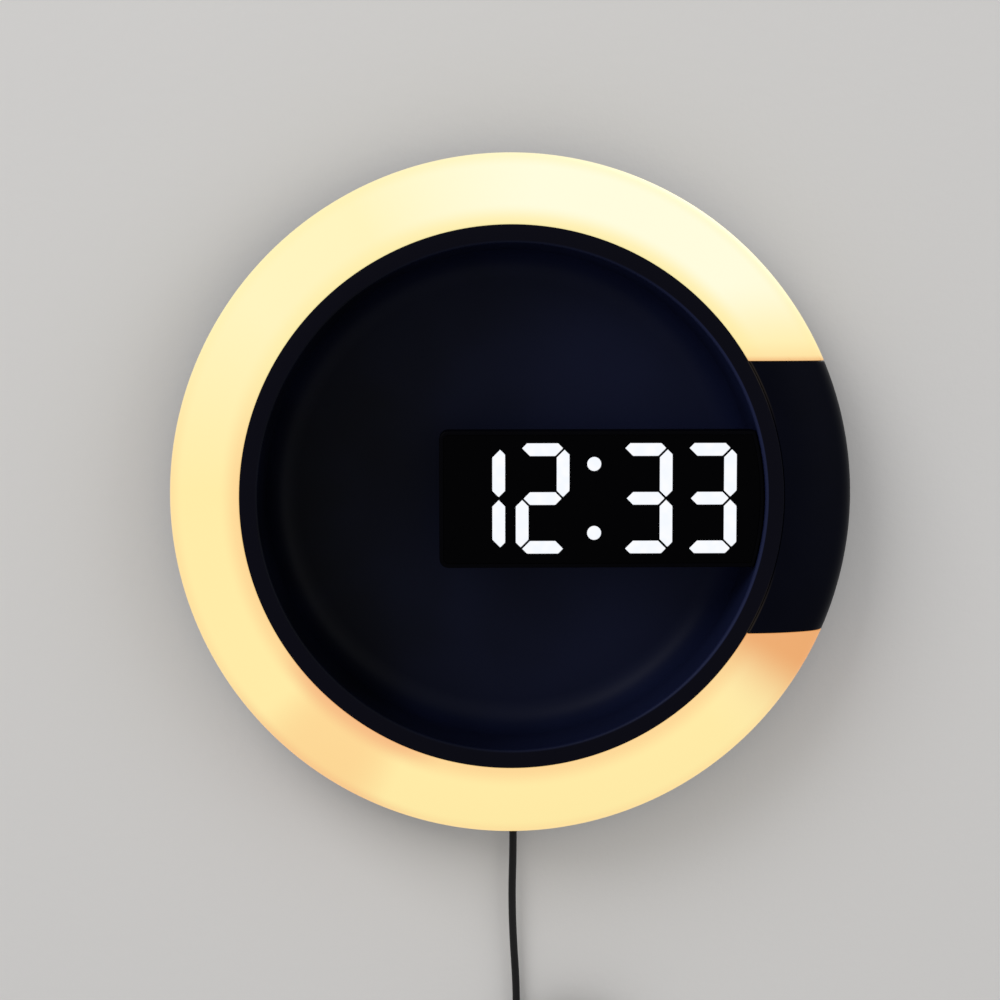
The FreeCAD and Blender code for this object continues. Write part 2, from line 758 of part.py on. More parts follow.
def make_front_shell():
    fillet_centre_depth = S.floor_depth + S.bowl_fillet
    tilt, upright_share = sine(S.bowl_draft), cosine(S.bowl_draft)
    wall_start_depth = fillet_centre_depth - S.bowl_fillet * tilt
    fillet_centre = wall_radius(wall_start_depth) - S.bowl_fillet * upright_share
    outer_fillet = S.bowl_fillet + S.shell_wall
    lip_low = S.body_depth - S.lip_round + S.lip_round * tilt
    lip_centre = wall_radius(lip_low) + S.lip_round * upright_share
    bezel_back = S.body_depth - S.bezel_wall
    body = turned("shell_body", [
        (0, S.floor_depth),
        (fillet_centre, S.floor_depth, S.bowl_fillet, 1),
        (wall_radius(wall_start_depth), wall_start_depth),
        (wall_radius(lip_low), lip_low, S.lip_round, -1),
        (lip_centre, S.body_depth),
        (BEZEL_RADIUS, S.body_depth),
        (BEZEL_RADIUS, LEDGE_TOP),
        (LEDGE_RADIUS, LEDGE_TOP),
        (LEDGE_RADIUS, LEDGE_BOTTOM),
        (BEZEL_RADIUS - S.skirt_wall, LEDGE_BOTTOM),
        (BEZEL_RADIUS - S.skirt_wall, bezel_back),
        (wall_radius(bezel_back) + S.shell_wall / upright_share, bezel_back),
        (fillet_centre + outer_fillet * upright_share, fillet_centre_depth - outer_fillet * tilt, outer_fillet, -1),
        (fillet_centre, S.floor_depth - S.shell_wall),
        (0, S.floor_depth - S.shell_wall),
    ])
    sketch = front_sketch(body, "shell_boss_sketch", S.seat_top, S.shell_screw_turn)
    draw_circle(sketch, SHELL_SCREW_CIRCLE, 0, S.boss_radius)
    boss = pad_on(body, "shell_boss", sketch, LEDGE_BOTTOM + 0.5 - S.seat_top)
    repeated(body, "shell_bosses", [boss], SHELL_SCREWS)
    pilot = front_sketch(body, "shell_pilot_sketch", SCREW_TIP + 1, S.shell_screw_turn)
    draw_circle(pilot, SHELL_SCREW_CIRCLE, 0, PILOT)
    pilot = pocket_on(body, "shell_pilot", pilot, SCREW_TIP + 1 - S.seat_top + 1)
    repeated(body, "shell_pilots", [pilot], SHELL_SCREWS)
    slot_half = S.neck_half + S.neck_clear
    slot = block(
        "neck_slot",
        (wall_radius(NECK_LOW) - 10, NECK_LOW - S.neck_clear, -slot_half),
        (BEZEL_RADIUS - S.skirt_wall, NECK_HIGH + S.neck_clear, slot_half),
    )
    node("front_shell", cut("shell_with_neck_slot", body, [slot]))


# The lit band, open on the right where the side cover sits, and that cover


def make_light_diffuser():
    shell = turned("diffuser_body", dome_shell_path())
    half = S.cover_half + S.seam_gap
    far = S.ring_radius + 10
    gap = block("diffuser_gap", (0, DIFFUSER_SEAT - 5, -half), (far, S.body_depth + 5, half))
    node("light_diffuser", cut("diffuser_c", shell, [gap]))


def make_side_cover():
    far = S.ring_radius + 10
    half = S.cover_half
    shell = turned("cover_body", dome_shell_path())
    sector = block("cover_sector", (0, DIFFUSER_SEAT - 5, -half), (far, S.body_depth + 5, half))
    skin = common("cover_skin", [shell, sector])
    low = DIFFUSER_SEAT + S.spigot_height + S.seam_gap
    walls = []
    for side, low_z, high_z in (("upper", half - S.cover_end_wall, half), ("lower", -half, S.cover_end_wall - half)):
        fill = turned(f"cover_{side}_fill", dome_fill_path(LEDGE_RADIUS + S.seam_gap, low, size(1)))
        slab = block(f"cover_{side}_slab", (0, DIFFUSER_SEAT, low_z), (far, S.body_depth, high_z))
        walls.append(common(f"cover_{side}_end", [fill, slab]))
    boss_reach = root(COVER_SCREW_X * COVER_SCREW_X + COVER_SCREW_Z * COVER_SCREW_Z) + S.cover_boss_radius
    boss_top = dome_depth(boss_reach, size(1))
    bosses = [rod("cover_boss", x, z, S.cover_boss_radius, S.seat_top, boss_top) for x, z in COVER_SCREWS]
    pilots = [rod("cover_pilot", x, z, PILOT, S.seat_top - 1, SCREW_TIP + 1) for x, z in COVER_SCREWS]
    node("side_cover", cut("cover_drilled", fuse("cover_solid", [skin, *walls, *bosses]), pilots))


# The white tray behind the band, its light board and the light emitters


def make_ring_light():
    far = S.ring_radius + 10
    wall = S.tray_wall
    plate = S.back_wall
    outer_top = DIFFUSER_SEAT + S.tray_rim_rise
    section = turned("tray_body", [
        (TRAY_INNER, plate),
        (TRAY_INNER + wall, plate),
        (TRAY_INNER + wall, TRAY_FLOOR),
        (TRAY_OUTER - wall, TRAY_FLOOR),
        (TRAY_OUTER - wall, plate),
        (TRAY_OUTER, plate),
        (TRAY_OUTER, outer_top),
        (TRAY_OUTER - wall, outer_top),
        (TRAY_OUTER - wall, RING_BOARD_BACK),
        (TRAY_INNER + wall, RING_BOARD_BACK),
        (TRAY_INNER_TOP + wall, TRAY_TOP),
        (TRAY_INNER_TOP, TRAY_TOP),
    ])
    gap = block("tray_gap_block", (0, 0, -TRAY_HALF), (far, S.body_depth, TRAY_HALF))
    pieces = [cut("tray_c", section, [gap])]
    for side, low_z, high_z in (("upper", TRAY_HALF, TRAY_HALF + wall), ("lower", -TRAY_HALF - wall, -TRAY_HALF)):
        fill = turned(f"tray_{side}_fill", [
            (TRAY_INNER, plate),
            (TRAY_OUTER, plate),
            (TRAY_OUTER, outer_top),
            (TRAY_INNER_TOP + 8, TRAY_TOP),
            (TRAY_INNER_TOP, TRAY_TOP),
        ])
        slab = block(f"tray_{side}_slab", (0, 0, low_z), (far, S.body_depth, high_z))
        pieces.append(common(f"tray_{side}_end", [fill, slab]))
    # Mouse holes for the supply wires at the bottom and for the ring's own wires at the upper end.
    wires = [
        block(
            "tray_outer_mouse_hole",
            (S.lead_x - 3.4, plate - 1, -TRAY_OUTER - 1),
            (S.lead_x + 3.4, S.lead_depth + 1.4, -TRAY_OUTER + 3.8),
        ),
        block(
            "tray_inner_mouse_hole",
            (S.lead_x - 2.4, plate - 1, -TRAY_INNER - 4),
            (S.lead_x + 2.4, TRAY_FLOOR - 0.2, -TRAY_INNER + 4),
        ),
        block(
            "tray_end_notch",
            (RING_WIRE_X - 1.6, MAIN_BOARD_FRONT - 0.6, TRAY_HALF - 1),
            (RING_WIRE_X + 2.8, MAIN_BOARD_FRONT + 2.6, TRAY_HALF + wall + 1),
        ),
    ]
    node("reflector_tray", cut("tray_with_holes", fuse("tray_solid", pieces), wires))

    half_width = S.ring_board_width / 2
    ring = turned("ring_board_body", [
        (RING_MIDDLE - half_width, RING_BOARD_BACK),
        (RING_MIDDLE + half_width, RING_BOARD_BACK),
        (RING_MIDDLE + half_width, RING_BOARD_FRONT),
        (RING_MIDDLE - half_width, RING_BOARD_FRONT),
    ])
    gap = block("ring_board_gap", (0, 0, -RING_BOARD_HALF), (far, S.body_depth, RING_BOARD_HALF))
    node("ring_led_board", cut("ring_board_c", ring, [gap]))

    body = doc.addObject("PartDesign::Body", "ring_emitters")
    body.AllowCompound = True
    first_turn = S.led_span / 2 - 180
    sketch = front_sketch(body, "ring_emitter_sketch", RING_BOARD_FRONT, first_turn)
    half = S.led_side / 2
    draw_outline(sketch, [
        (RING_MIDDLE - half, -half),
        (RING_MIDDLE + half, -half),
        (RING_MIDDLE + half, half),
        (RING_MIDDLE - half, half),
    ])
    first = pad_on(body, "ring_emitter", sketch, S.led_height)
    pattern = repeated(body, "ring_emitter_row", [first], RING_LEDS)
    pattern.setExpression("Angle", S.led_span.text)
    node("ring_leds", body)


# Display slab


def slab_outline(inset):
    """The slab's outline with its two rounded left corners, open-ended on the right, moved in by an inset."""
    left = DISPLAY_LEFT + inset
    low, high = DISPLAY_BOTTOM + inset, DISPLAY_TOP - inset
    corner = S.display_corner - inset
    right = BOWL_RADIUS + 5
    return [
        (left + corner, low),
        (right, low),
        (right, high),
        (left + corner, high, corner, 1),
        (left, high - corner),
        (left, low + corner, corner, 1),
    ]


def slab_piece(label, inset, low, high):
    """A piece of the display slab between two depths, inset from its outside and cut parallel to the bowl's wall."""
    body = doc.addObject("PartDesign::Body", f"{label}_slab")
    sketch = front_sketch(body, f"{label}_outline", low)
    draw_outline(sketch, slab_outline(inset))
    pad_on(body, f"{label}_pad", sketch, high - low)
    return body, slab_end(label, inset, low, high)


def slab_end(label, inset, low, high):
    """The cone parallel to the bowl's wall that rounds off a piece of the slab."""
    cone = doc.addObject("Part::Cone", f"{label}_end")
    cone.Placement = FreeCAD.Placement(FreeCAD.Vector(), FreeCAD.Rotation(FreeCAD.Vector(1, 0, 0), 90))
    back = wall_radius(low) - S.case_end_gap - inset
    front = wall_radius(high) - S.case_end_gap - inset
    bind(cone, Radius1=back, Radius2=front, Height=high - low)
    place(cone, 0, -low, 0)
    return cone


def segment_outlines(right, letters, grow):
    """The outlines of a digit's segments in (x, z), with mitred corners and a cut-off outer corner."""
    edge = size(grow)
    left, right = right - S.digit_width - edge, right + edge
    wide = S.segment_width + 2 * edge
    up = S.digit_height / 2 + edge
    shift = (S.segment_gap - 2 * edge) / math.sqrt(2)
    corner = S.segment_corner + (2 - math.sqrt(2)) * edge
    near, off = (corner - shift) / 2, (corner + shift) / 2
    middle = S.digits_middle

    def level(side):
        outer = middle + up * side
        return [
            (left + corner, outer),
            (right - corner, outer),
            (right - off, outer - near * side),
            (right - wide - shift, outer - wide * side),
            (left + wide + shift, outer - wide * side),
            (left + off, outer - near * side),
        ]

    def post(edge_x, inwards, side):
        outer = middle + up * side
        tip = middle + shift * side
        return [
            (edge_x, outer - corner * side),
            (edge_x + near * inwards, outer - off * side),
            (edge_x + wide * inwards, outer - (wide + shift) * side),
            (edge_x + wide * inwards, tip + wide / 2 * side),
            (edge_x + wide / 2 * inwards, tip),
            (edge_x, tip + wide / 2 * side),
        ]

    outlines = {
        "a": level(1),
        "d": level(-1),
        "b": post(right, -1, 1),
        "c": post(right, -1, -1),
        "f": post(left, 1, 1),
        "e": post(left, 1, -1),
        "g": [
            (left + wide / 2 + shift, middle),
            (left + wide + shift, middle + wide / 2),
            (right - wide - shift, middle + wide / 2),
            (right - wide / 2 - shift, middle),
            (right - wide - shift, middle - wide / 2),
            (left + wide + shift, middle - wide / 2),
        ],
    }
    return [outlines[letter] for letter in letters]


MINUTE_UNITS_RIGHT = DIGITS_RIGHT
MINUTE_TENS_RIGHT = MINUTE_UNITS_RIGHT - S.digit_pitch
HOUR_UNITS_RIGHT = MINUTE_TENS_RIGHT - S.digit_width - S.colon_room
HOUR_TENS_RIGHT = HOUR_UNITS_RIGHT - S.digit_pitch
DIGITS = (
    ("digit_hour_tens", HOUR_TENS_RIGHT, "1", "bc"),
    ("digit_hour_units", HOUR_UNITS_RIGHT, "2", "abcdefg"),
    ("digit_minute_tens", MINUTE_TENS_RIGHT, "3", "abcdefg"),
    ("digit_minute_units", MINUTE_UNITS_RIGHT, "3", "abcdefg"),
)
COLON_X = HOUR_UNITS_RIGHT + S.colon_room / 2
COLON = ((COLON_X, S.digits_middle + S.colon_rise), (COLON_X, S.digits_middle - S.colon_rise))


def make_display_case():
    body, end = slab_piece("case", size(0), CASE_BACK, CASE_FRONT)
    slab = common("case_outside", [body, end])
    neck = block("case_neck", (BOWL_RADIUS - S.neck_inset, NECK_LOW, -S.neck_half), (NECK_END, NECK_HIGH, S.neck_half))
    body, end = slab_piece("cavity", S.case_wall, CASE_INNER, CASE_FRONT + 1)
    cavity = common("case_cavity", [body, end])
    tunnel = block(
        "case_tunnel",
        (POST_X - 14, TUNNEL_LOW, -S.tunnel_half),
        (NECK_END + 1, TUNNEL_LOW + S.tunnel_height, S.tunnel_half),
    )
    tip = POST_SINK + S.shank_length
    pilots = [rod("neck_pilot", x, z, PILOT, NECK_LOW - 1, tip + 0.5) for x, z in POSTS]
    node("display_case", cut("case_hollow", fuse("case_solid", [slab, neck]), [cavity, tunnel, *pilots]))


def make_display_window():
    inset = S.case_wall + S.window_gap
    body, end = slab_piece("window", inset, WINDOW_BACK, WINDOW_FRONT)
    for label, right, shown, built in DIGITS:
        sketch = front_sketch(body, f"{label}_opening_sketch", WINDOW_FRONT)
        for outline in segment_outlines(right, SEGMENTS_LIT[shown], S.cap_gap):
            draw_outline(sketch, outline)
        pocket_on(body, f"{label}_opening", sketch, S.window_thickness + 1)
    round_pockets(body, "colon_opening", WINDOW_FRONT, S.window_thickness + 1, COLON, S.colon_radius + S.cap_gap)
    node("display_window", common("window_cut", [body, end]))


def make_segment_reflector():
    body = doc.addObject("PartDesign::Body", "reflector_body")
    sketch = front_sketch(body, "reflector_outline", DISPLAY_BOARD_FRONT)
    margin = S.reflector_margin
    low = S.digits_middle - S.digit_height / 2 - margin
    high = S.digits_middle + S.digit_height / 2 + margin
    left = HOUR_TENS_RIGHT - S.segment_width - margin
    right = MINUTE_UNITS_RIGHT + margin
    draw_outline(sketch, [(left, low), (right, low), (right, high), (left, high)])
    pad_on(body, "reflector_pad", sketch, S.reflector_height)
    for label, right, shown, built in DIGITS:
        sketch = front_sketch(body, f"{label}_light_well_sketch", WINDOW_BACK)
        for outline in segment_outlines(right, built, S.cap_gap):
            draw_outline(sketch, outline)
        pocket_on(body, f"{label}_light_wells", sketch, S.reflector_height + 1)
    depth = S.reflector_height + 1
    round_pockets(body, "colon_light_wells", WINDOW_BACK, depth, COLON, S.colon_radius + S.cap_gap)
    end = slab_end("reflector", S.case_wall + S.window_gap, DISPLAY_BOARD_FRONT, WINDOW_BACK)
    node("segment_reflector", common("reflector_cut", [body, end]))


def make_digits():
    for label, right, shown, built in DIGITS:
        body = doc.addObject("PartDesign::Body", f"{label}_caps")
        body.AllowCompound = True
        sketch = front_sketch(body, f"{label}_sketch", CAP_BACK)
        for outline in segment_outlines(right, SEGMENTS_LIT[shown], 0):
            draw_outline(sketch, outline)
        pad_on(body, f"{label}_pad", sketch, S.cap_height)
        node(label, body)
    body = doc.addObject("PartDesign::Body", "colon_caps")
    body.AllowCompound = True
    round_pads(body, "colon_pad", CAP_BACK, S.cap_height, COLON, S.colon_radius)
    node("colon_dots", body)


def make_display_board():
    inset = S.case_wall + S.window_gap
    body, end = slab_piece("display_board", inset, DISPLAY_BOARD_BACK, DISPLAY_BOARD_FRONT)
    node("display_board", common("display_board_cut", [body, end]))
    chips = []
    front = DISPLAY_BOARD_FRONT
    for label, right, shown, built in DIGITS:
        for number, outline in enumerate(segment_outlines(right, built, 0)):
            x = sum((point[0] for point in outline[1:]), outline[0][0]) / len(outline)
            z = sum((point[1] for point in outline[1:]), outline[0][1]) / len(outline)
            chips.append(block(f"{label}_chip_{number}", (x - 1, front, z - 0.8), (x + 1, front + 0.8, z + 0.8)))
    for number, (x, z) in enumerate(COLON):
        chips.append(block(f"colon_chip_{number}", (x - 1, front, z - 0.8), (x + 1, front + 0.8, z + 0.8)))
    node("segment_leds", group("segment_emitters", chips))
    back = DISPLAY_BOARD_BACK
    chip_left = DISPLAY_LEFT + S.driver_inset
    node("display_driver_chip", block("driver_chip", (chip_left, back - 2, -5), (chip_left + S.driver_length, back, 5)))
    receiver = block(
        "receiver_body",
        (RECEIVER_X - 2.2, front, S.receiver_z - 2.8),
        (RECEIVER_X + 2.2, front + 4, S.receiver_z + 2.8),
    )
    lens = rod("receiver_lens", RECEIVER_X, S.receiver_z, 1.6, front + 4, front + 5.2)
    node("infrared_receiver", fuse("receiver", [receiver, lens]))


# Main board and what sits on it


def make_main_board():
    back, front = S.main_board_depth, MAIN_BOARD_FRONT
    board = block("main_board_blank", (MAIN_BOARD_LEFT, back, -MAIN_BOARD_HALF), (MAIN_BOARD_RIGHT, front, MAIN_BOARD_HALF))
    hole = S.small_shank_radius + S.screw_clear
    holes = [rod("main_board_hole", x, z, hole, back - 1, front + 1) for x, z in STANDOFFS]
    node("main_board", cut("main_board_drilled", board, holes))
    x = SIDE_X
    node("controller_chip", block("controller", (x - 1, front, 8), (x + 6, front + 1.6, 18)))
    crystal = upright("crystal", x + 3.5, front + 1.1, 1.1, -5, 1.5)
    node("clock_crystal", crystal)
    node("buzzer", rod("buzzer_can", x + 0.5, MAIN_BOARD_HALF - S.buzzer_inset, 4.5, front, front + 5.5))
    node("smoothing_capacitor", rod("capacitor_can", x + 1, S.capacitor_inset - MAIN_BOARD_HALF, 2.5, front, front + 7.2))
    node("thermistor", rod("thermistor_bead", x + 5, S.thermistor_inset - MAIN_BOARD_HALF, 0.9, front, front + 3.0))
    node("supply_header", block("header", (MAIN_BOARD_LEFT + 0.5, front, -5.6), (MAIN_BOARD_LEFT + 3.7, front + 3.5, -1.4)))
    switches = []
    for name, z in BUTTONS:
        half = S.switch_side / 2
        case = block(f"{name}_switch", (x - half, back - S.switch_height, z - half), (x + half, back, z + half))
        plunger = rod(f"{name}_plunger", x, z, S.plunger_radius, PLUNGER_TIP, back - S.switch_height + 0.5)
        switches.append(fuse(f"{name}_switch_unit", [case, plunger]))
    node("tact_switches", group("switch_row", switches))


RIBBON_LOW, RIBBON_HIGH = -0.7, 5.9
RIBBON_X = MAIN_BOARD_LEFT + 3.0


def make_ribbon():
    wall = S.ribbon_wall
    run = TUNNEL_LOW + S.tunnel_height / 2
    bend = S.ribbon_bend
    start = BOWL_RADIUS - S.ribbon_inset
    socket_top = MAIN_BOARD_FRONT + 2.5
    body = strip("ribbon_strip", [
        (start, run),
        (RIBBON_X - bend, run, bend, -1),
        (RIBBON_X, run - bend),
        (RIBBON_X, socket_top),
        (RIBBON_X + wall, socket_top),
        (RIBBON_X + wall, run - bend, bend + wall, 1),
        (RIBBON_X - bend, run + wall),
        (start, run + wall),
    ], RIBBON_LOW, RIBBON_HIGH)
    node("display_ribbon", body)
    low, high = RIBBON_LOW - 0.5, RIBBON_HIGH + 0.5
    display_socket = block("display_socket", (start - 4, run - 0.6, low), (start, DISPLAY_BOARD_BACK, high))
    main_socket = block(
        "main_socket",
        (RIBBON_X - 1.1, MAIN_BOARD_FRONT, low),
        (RIBBON_X + 1.4, socket_top, high),
    )
    node("ribbon_sockets", group("sockets", [display_socket, main_socket]))


# Buttons, coin cell, its springs and its cap


def make_buttons():
    back = S.button_sunk
    flange = S.back_wall + S.button_gap
    stem = PLUNGER_TIP - S.button_travel - S.thread_clear
    for name, z in BUTTONS:
        body = turned(f"{name}_body", [
            (0, back),
            (S.button_radius - 0.4, back),
            (S.button_radius, back + 0.4),
            (S.button_radius, flange),
            (S.button_flange, flange),
            (S.button_flange, flange + S.button_flange_height),
            (S.button_stem, flange + S.button_flange_height),
            (S.button_stem, stem),
            (0, stem),
        ])
        place(body, SIDE_X, 0, z)
        node(name, body)


def make_cell():
    x, z = CELL_X, S.cell_z
    can = rod("cell_can", x, z, S.cell_radius, CELL_BACK, CELL_FRONT - S.cell_step)
    top = rod("cell_top", x, z, S.cell_radius - 1, CELL_FRONT - S.cell_step, CELL_FRONT)
    node("coin_cell", fuse("cell", [can, top]))

    wall = S.contact_wall
    board = S.main_board_depth
    low, high = z - S.contact_half, z + S.contact_half
    touch = CELL_FRONT + S.thread_clear
    node("cell_contact_minus", strip("minus_spring", [
        (x - 3.3, board),
        (x - 1.3, board),
        (x + 2.9, touch + wall),
        (x + 4.9, touch + wall + 0.5),
        (x + 4.9, touch + 0.5),
        (x + 2.8, touch),
        (x - 1.45, board - wall),
        (x - 3.3, board - wall),
    ], low, high))
    side = x + S.cell_radius + S.thread_clear
    node("cell_contact_plus", strip("plus_spring", [
        (side - 2.3, board),
        (side + 0.8, board),
        (side + 0.8, CELL_BACK + 4),
        (side + wall, CELL_BACK + 2.2),
        (side + wall + 0.4, CELL_BACK + 1.0),
        (side + 0.4, CELL_BACK + 1.0),
        (side, CELL_BACK + 2.2),
        (side + 0.8 - wall, CELL_BACK + 4),
        (side + 0.8 - wall, board - wall),
        (side - 2.3, board - wall),
    ], low, high))

    # The cap turns about its own axis, so it is drawn there and then moved to its place.
    disc = rod("cap_disc", 0, 0, CAP_RADIUS, S.cap_sunk, LUG_FRONT)
    room = rod("cap_room", 0, 0, CAP_RADIUS - S.cap_rim, CAP_FACE, LUG_FRONT + 1)
    coin_slot = block(
        "coin_slot",
        (-S.coin_slot_length / 2, 0, -S.coin_slot_half),
        (S.coin_slot_length / 2, S.cap_sunk + S.coin_slot_depth, S.coin_slot_half),
    )
    lug_bar = block(
        "lug_bar",
        (-CAP_RADIUS - S.lug_reach, LUG_BACK, -S.lug_half),
        (CAP_RADIUS + S.lug_reach, LUG_FRONT, S.lug_half),
    )
    lug_circle = rod("lug_circle", 0, 0, CAP_RADIUS + S.lug_reach, S.cap_sunk, LUG_FRONT)
    lugs = common("cap_lugs", [lug_bar, lug_circle])
    cap = cut("cap_turned", fuse("cap_solid", [disc, lugs]), [room, coin_slot])
    cap.setExpression("Placement.Rotation.Angle", (-S.cap_turn).text)
    cap.Placement.Rotation = FreeCAD.Rotation(FreeCAD.Vector(0, 1, 0), -S.cap_turn.value)
    place(cap, x, 0, z)
    node("coin_cell_cap", cap)


# Screws


def screw(label, x, z, seat, small=False):
    """A round-headed screw that points forward, with its head behind a seat at a depth."""
    head_radius, head_height = S.head_radius, S.head_height
    shank_radius, length = S.shank_radius, S.shank_length
    head = rod(f"{label}_head", x, z, head_radius, seat - head_height, seat)
    shank = rod(f"{label}_shank", x, z, shank_radius, seat - 0.5, seat + length)
    drive = block(f"{label}_drive", (x - 1.6, seat - head_height - 1, z - 0.35), (x + 1.6, seat - head_height + 0.8, z + 0.35))
    cross = block(f"{label}_cross", (x - 0.35, seat - head_height - 1, z - 1.6), (x + 0.35, seat - head_height + 0.8, z + 1.6))
    return cut(f"{label}_screw", fuse(f"{label}_blank", [head, shank]), [drive, cross])


def make_screws():
    screws = []
    for number in range(SHELL_SCREWS):
        turn = S.shell_screw_turn + 360 / SHELL_SCREWS * number
        x, z = SHELL_SCREW_CIRCLE * cosine(turn), SHELL_SCREW_CIRCLE * sine(turn)
        screws.append(screw(f"shell_{number}", x, z, S.sink_depth))
    for number, (x, z) in enumerate(COVER_SCREWS):
        screws.append(screw(f"cover_{number}", x, z, S.sink_depth))
    node("housing_screws", group("housing_screw_set", screws))
    screws = [screw(f"display_{number}", x, z, POST_SINK) for number, (x, z) in enumerate(POSTS)]
    node("display_screws", group("display_screw_pair", screws))
    screws = []
    front = MAIN_BOARD_FRONT
    for number, (x, z) in enumerate(STANDOFFS):
        head = rod(f"board_head_{number}", x, z, S.small_head_radius, front, front + S.small_head_height)
        tip = front - S.small_shank_length
        shank = rod(f"board_shank_{number}", x, z, S.small_shank_radius, tip, front + 0.3)
        drive = block(
            f"board_drive_{number}",
            (x - 1.1, front + S.small_head_height - 0.6, z - 0.3),
            (x + 1.1, front + S.small_head_height + 1, z + 0.3),
        )
        screws.append(cut(f"board_screw_{number}", fuse(f"board_blank_{number}", [head, shank]), [drive]))
    node("board_screws", group("board_screw_set", screws))


# Wires and the lead


def measured(*numbers):
    """Plain numbers from Sizes."""
    return [size(number).value for number in numbers]


def rounded_route(points, report=None):
    """Straight runs between points, joined by tangent arcs as large as their two runs allow."""
    points = [FreeCAD.Vector(x, -depth, z) for x, depth, z in (measured(*point) for point in points)]
    edges = []
    start = points[0]
    radii = []
    for before, corner, after in zip(points, points[1:], points[2:]):
        way_in = (corner - before).normalize()
        way_out = (after - corner).normalize()
        half_turn = way_in.getAngle(way_out) / 2
        back_off = 0.45 * min((corner - before).Length, (after - corner).Length)
        radius = back_off / math.tan(half_turn)
        radii.append(radius)
        arc_start = corner - way_in * back_off
        arc_end = corner + way_out * back_off
        bisector = (way_out - way_in).normalize()
        centre = corner + bisector * (radius / math.cos(half_turn))
        arc_middle = centre - bisector * radius
        edges.append(Part.LineSegment(start, arc_start).toShape())
        edges.append(Part.Arc(arc_start, arc_middle, arc_end).toShape())
        start = arc_end
    edges.append(Part.LineSegment(start, points[-1]).toShape())
    if report:
        print(report, "bend radii", " ".join(f"{radius:.1f}" for radius in radii))
    return edges


def tube_shape(edges, radius):
    """A round solid along a route of edges."""
    path = Part.Wire(edges)
    start = edges[0].valueAt(edges[0].FirstParameter)
    along = edges[0].tangentAt(edges[0].FirstParameter)
    ring = Part.Wire([Part.Circle(start, along, radius).toShape()])
    shape = path.makePipeShell([ring], True, False)
    expected = path.Length * math.pi * radius**2
    print(f"tube length {path.Length:.1f} volume share {shape.Volume / expected:.4f}")
    return shape


def wire_feature(label, shape):
    """Keeps a route-made solid as a feature of the document."""
    feature = doc.addObject("Part::Feature", label)
    feature.Shape = shape
    feature.Placement = FreeCAD.Placement()
    return feature


RING_WIRE_X = MAIN_BOARD_LEFT - 3.5
TRACK_RADIUS = BOWL_RADIUS - 2.2


def track_points(radius, depth, low_angle, high_angle, steps):
    """Points on a circle round the clock's axis, close to the back plate."""
    points = []
    for step in range(steps + 1):
        angle = math.radians(low_angle + (high_angle - low_angle) * step / steps)
        points.append((radius * math.cos(angle), depth, radius * math.sin(angle)))
    return points


def make_wires():
    radius = S.wire_radius.value
    floor = S.back_wall + S.wire_radius + 0.5
    header_depth = MAIN_BOARD_FRONT + 1.6
    entry = -(HOUSING_INNER - S.grommet_flange)
    rise_x = MAIN_BOARD_LEFT - 1.2
    tubes = []
    for side, height in ((-0.8, -4.2), (0.8, -2.8)):
        track = TRACK_RADIUS + 0.9 * side
        x = S.lead_x + side
        route = [
            (x, S.lead_depth, entry),
            (x, S.lead_depth, entry + 1.3),
            (x, floor, entry + 4.2),
            (x, floor, -track - 8),
            *track_points(track, floor, -86, -8, 6),
            (TRACK_RADIUS + 5, floor, height),
            (rise_x, floor, height),
            (rise_x, header_depth, height),
            (MAIN_BOARD_LEFT + 0.5, header_depth, height),
        ]
        tubes.append(tube_shape(rounded_route(route), radius))
    node("supply_wires", wire_feature("supply_wire_pair", Part.makeCompound(tubes)))

    tubes = []
    front = MAIN_BOARD_FRONT
    for side in (0, 1.4):
        pad_x = MAIN_BOARD_LEFT + 0.8 + side
        x = RING_WIRE_X + side
        landing = RING_BOARD_HALF + 1.6
        route = [
            (pad_x, front, MAIN_BOARD_HALF - 2.4),
            (pad_x, front + 1.8, MAIN_BOARD_HALF - 2.4),
            (x + 1.2, front + 1.8, MAIN_BOARD_HALF + 3.0),
            (x, front + 0.9, landing),
            (x, RING_BOARD_FRONT, landing),
        ]
        tubes.append(tube_shape(rounded_route(route), radius))
    node("ring_wires", wire_feature("ring_wire_pair", Part.makeCompound(tubes)))


COIL_X = S.coil_entry_x + S.coil_radius
COIL_Z = S.coil_top - 2 * S.lead_radius
COIL_FRONT = S.coil_depth + S.coil_pitch * (COIL_LAYERS - 1)
COLLAR_END = -(HOUSING_RADIUS + S.grommet_length)


def make_grommet():
    x, depth = S.lead_x, S.lead_depth
    inner = -(HOUSING_INNER - S.grommet_flange)
    flange = upright("grommet_flange_disc", x, depth, S.grommet_neck + 0.6, -HOUSING_INNER + S.seam_gap, inner)
    neck = upright("grommet_neck_bar", x, depth, S.grommet_neck, -HOUSING_RADIUS - 0.2, inner)
    collar = upright(
        "grommet_collar_cone", x, depth, S.lead_radius + 0.7, COLLAR_END, -HOUSING_RADIUS - S.seam_gap, S.grommet_collar
    )
    node("cord_grommet", fuse("grommet", [flange, neck, collar]))


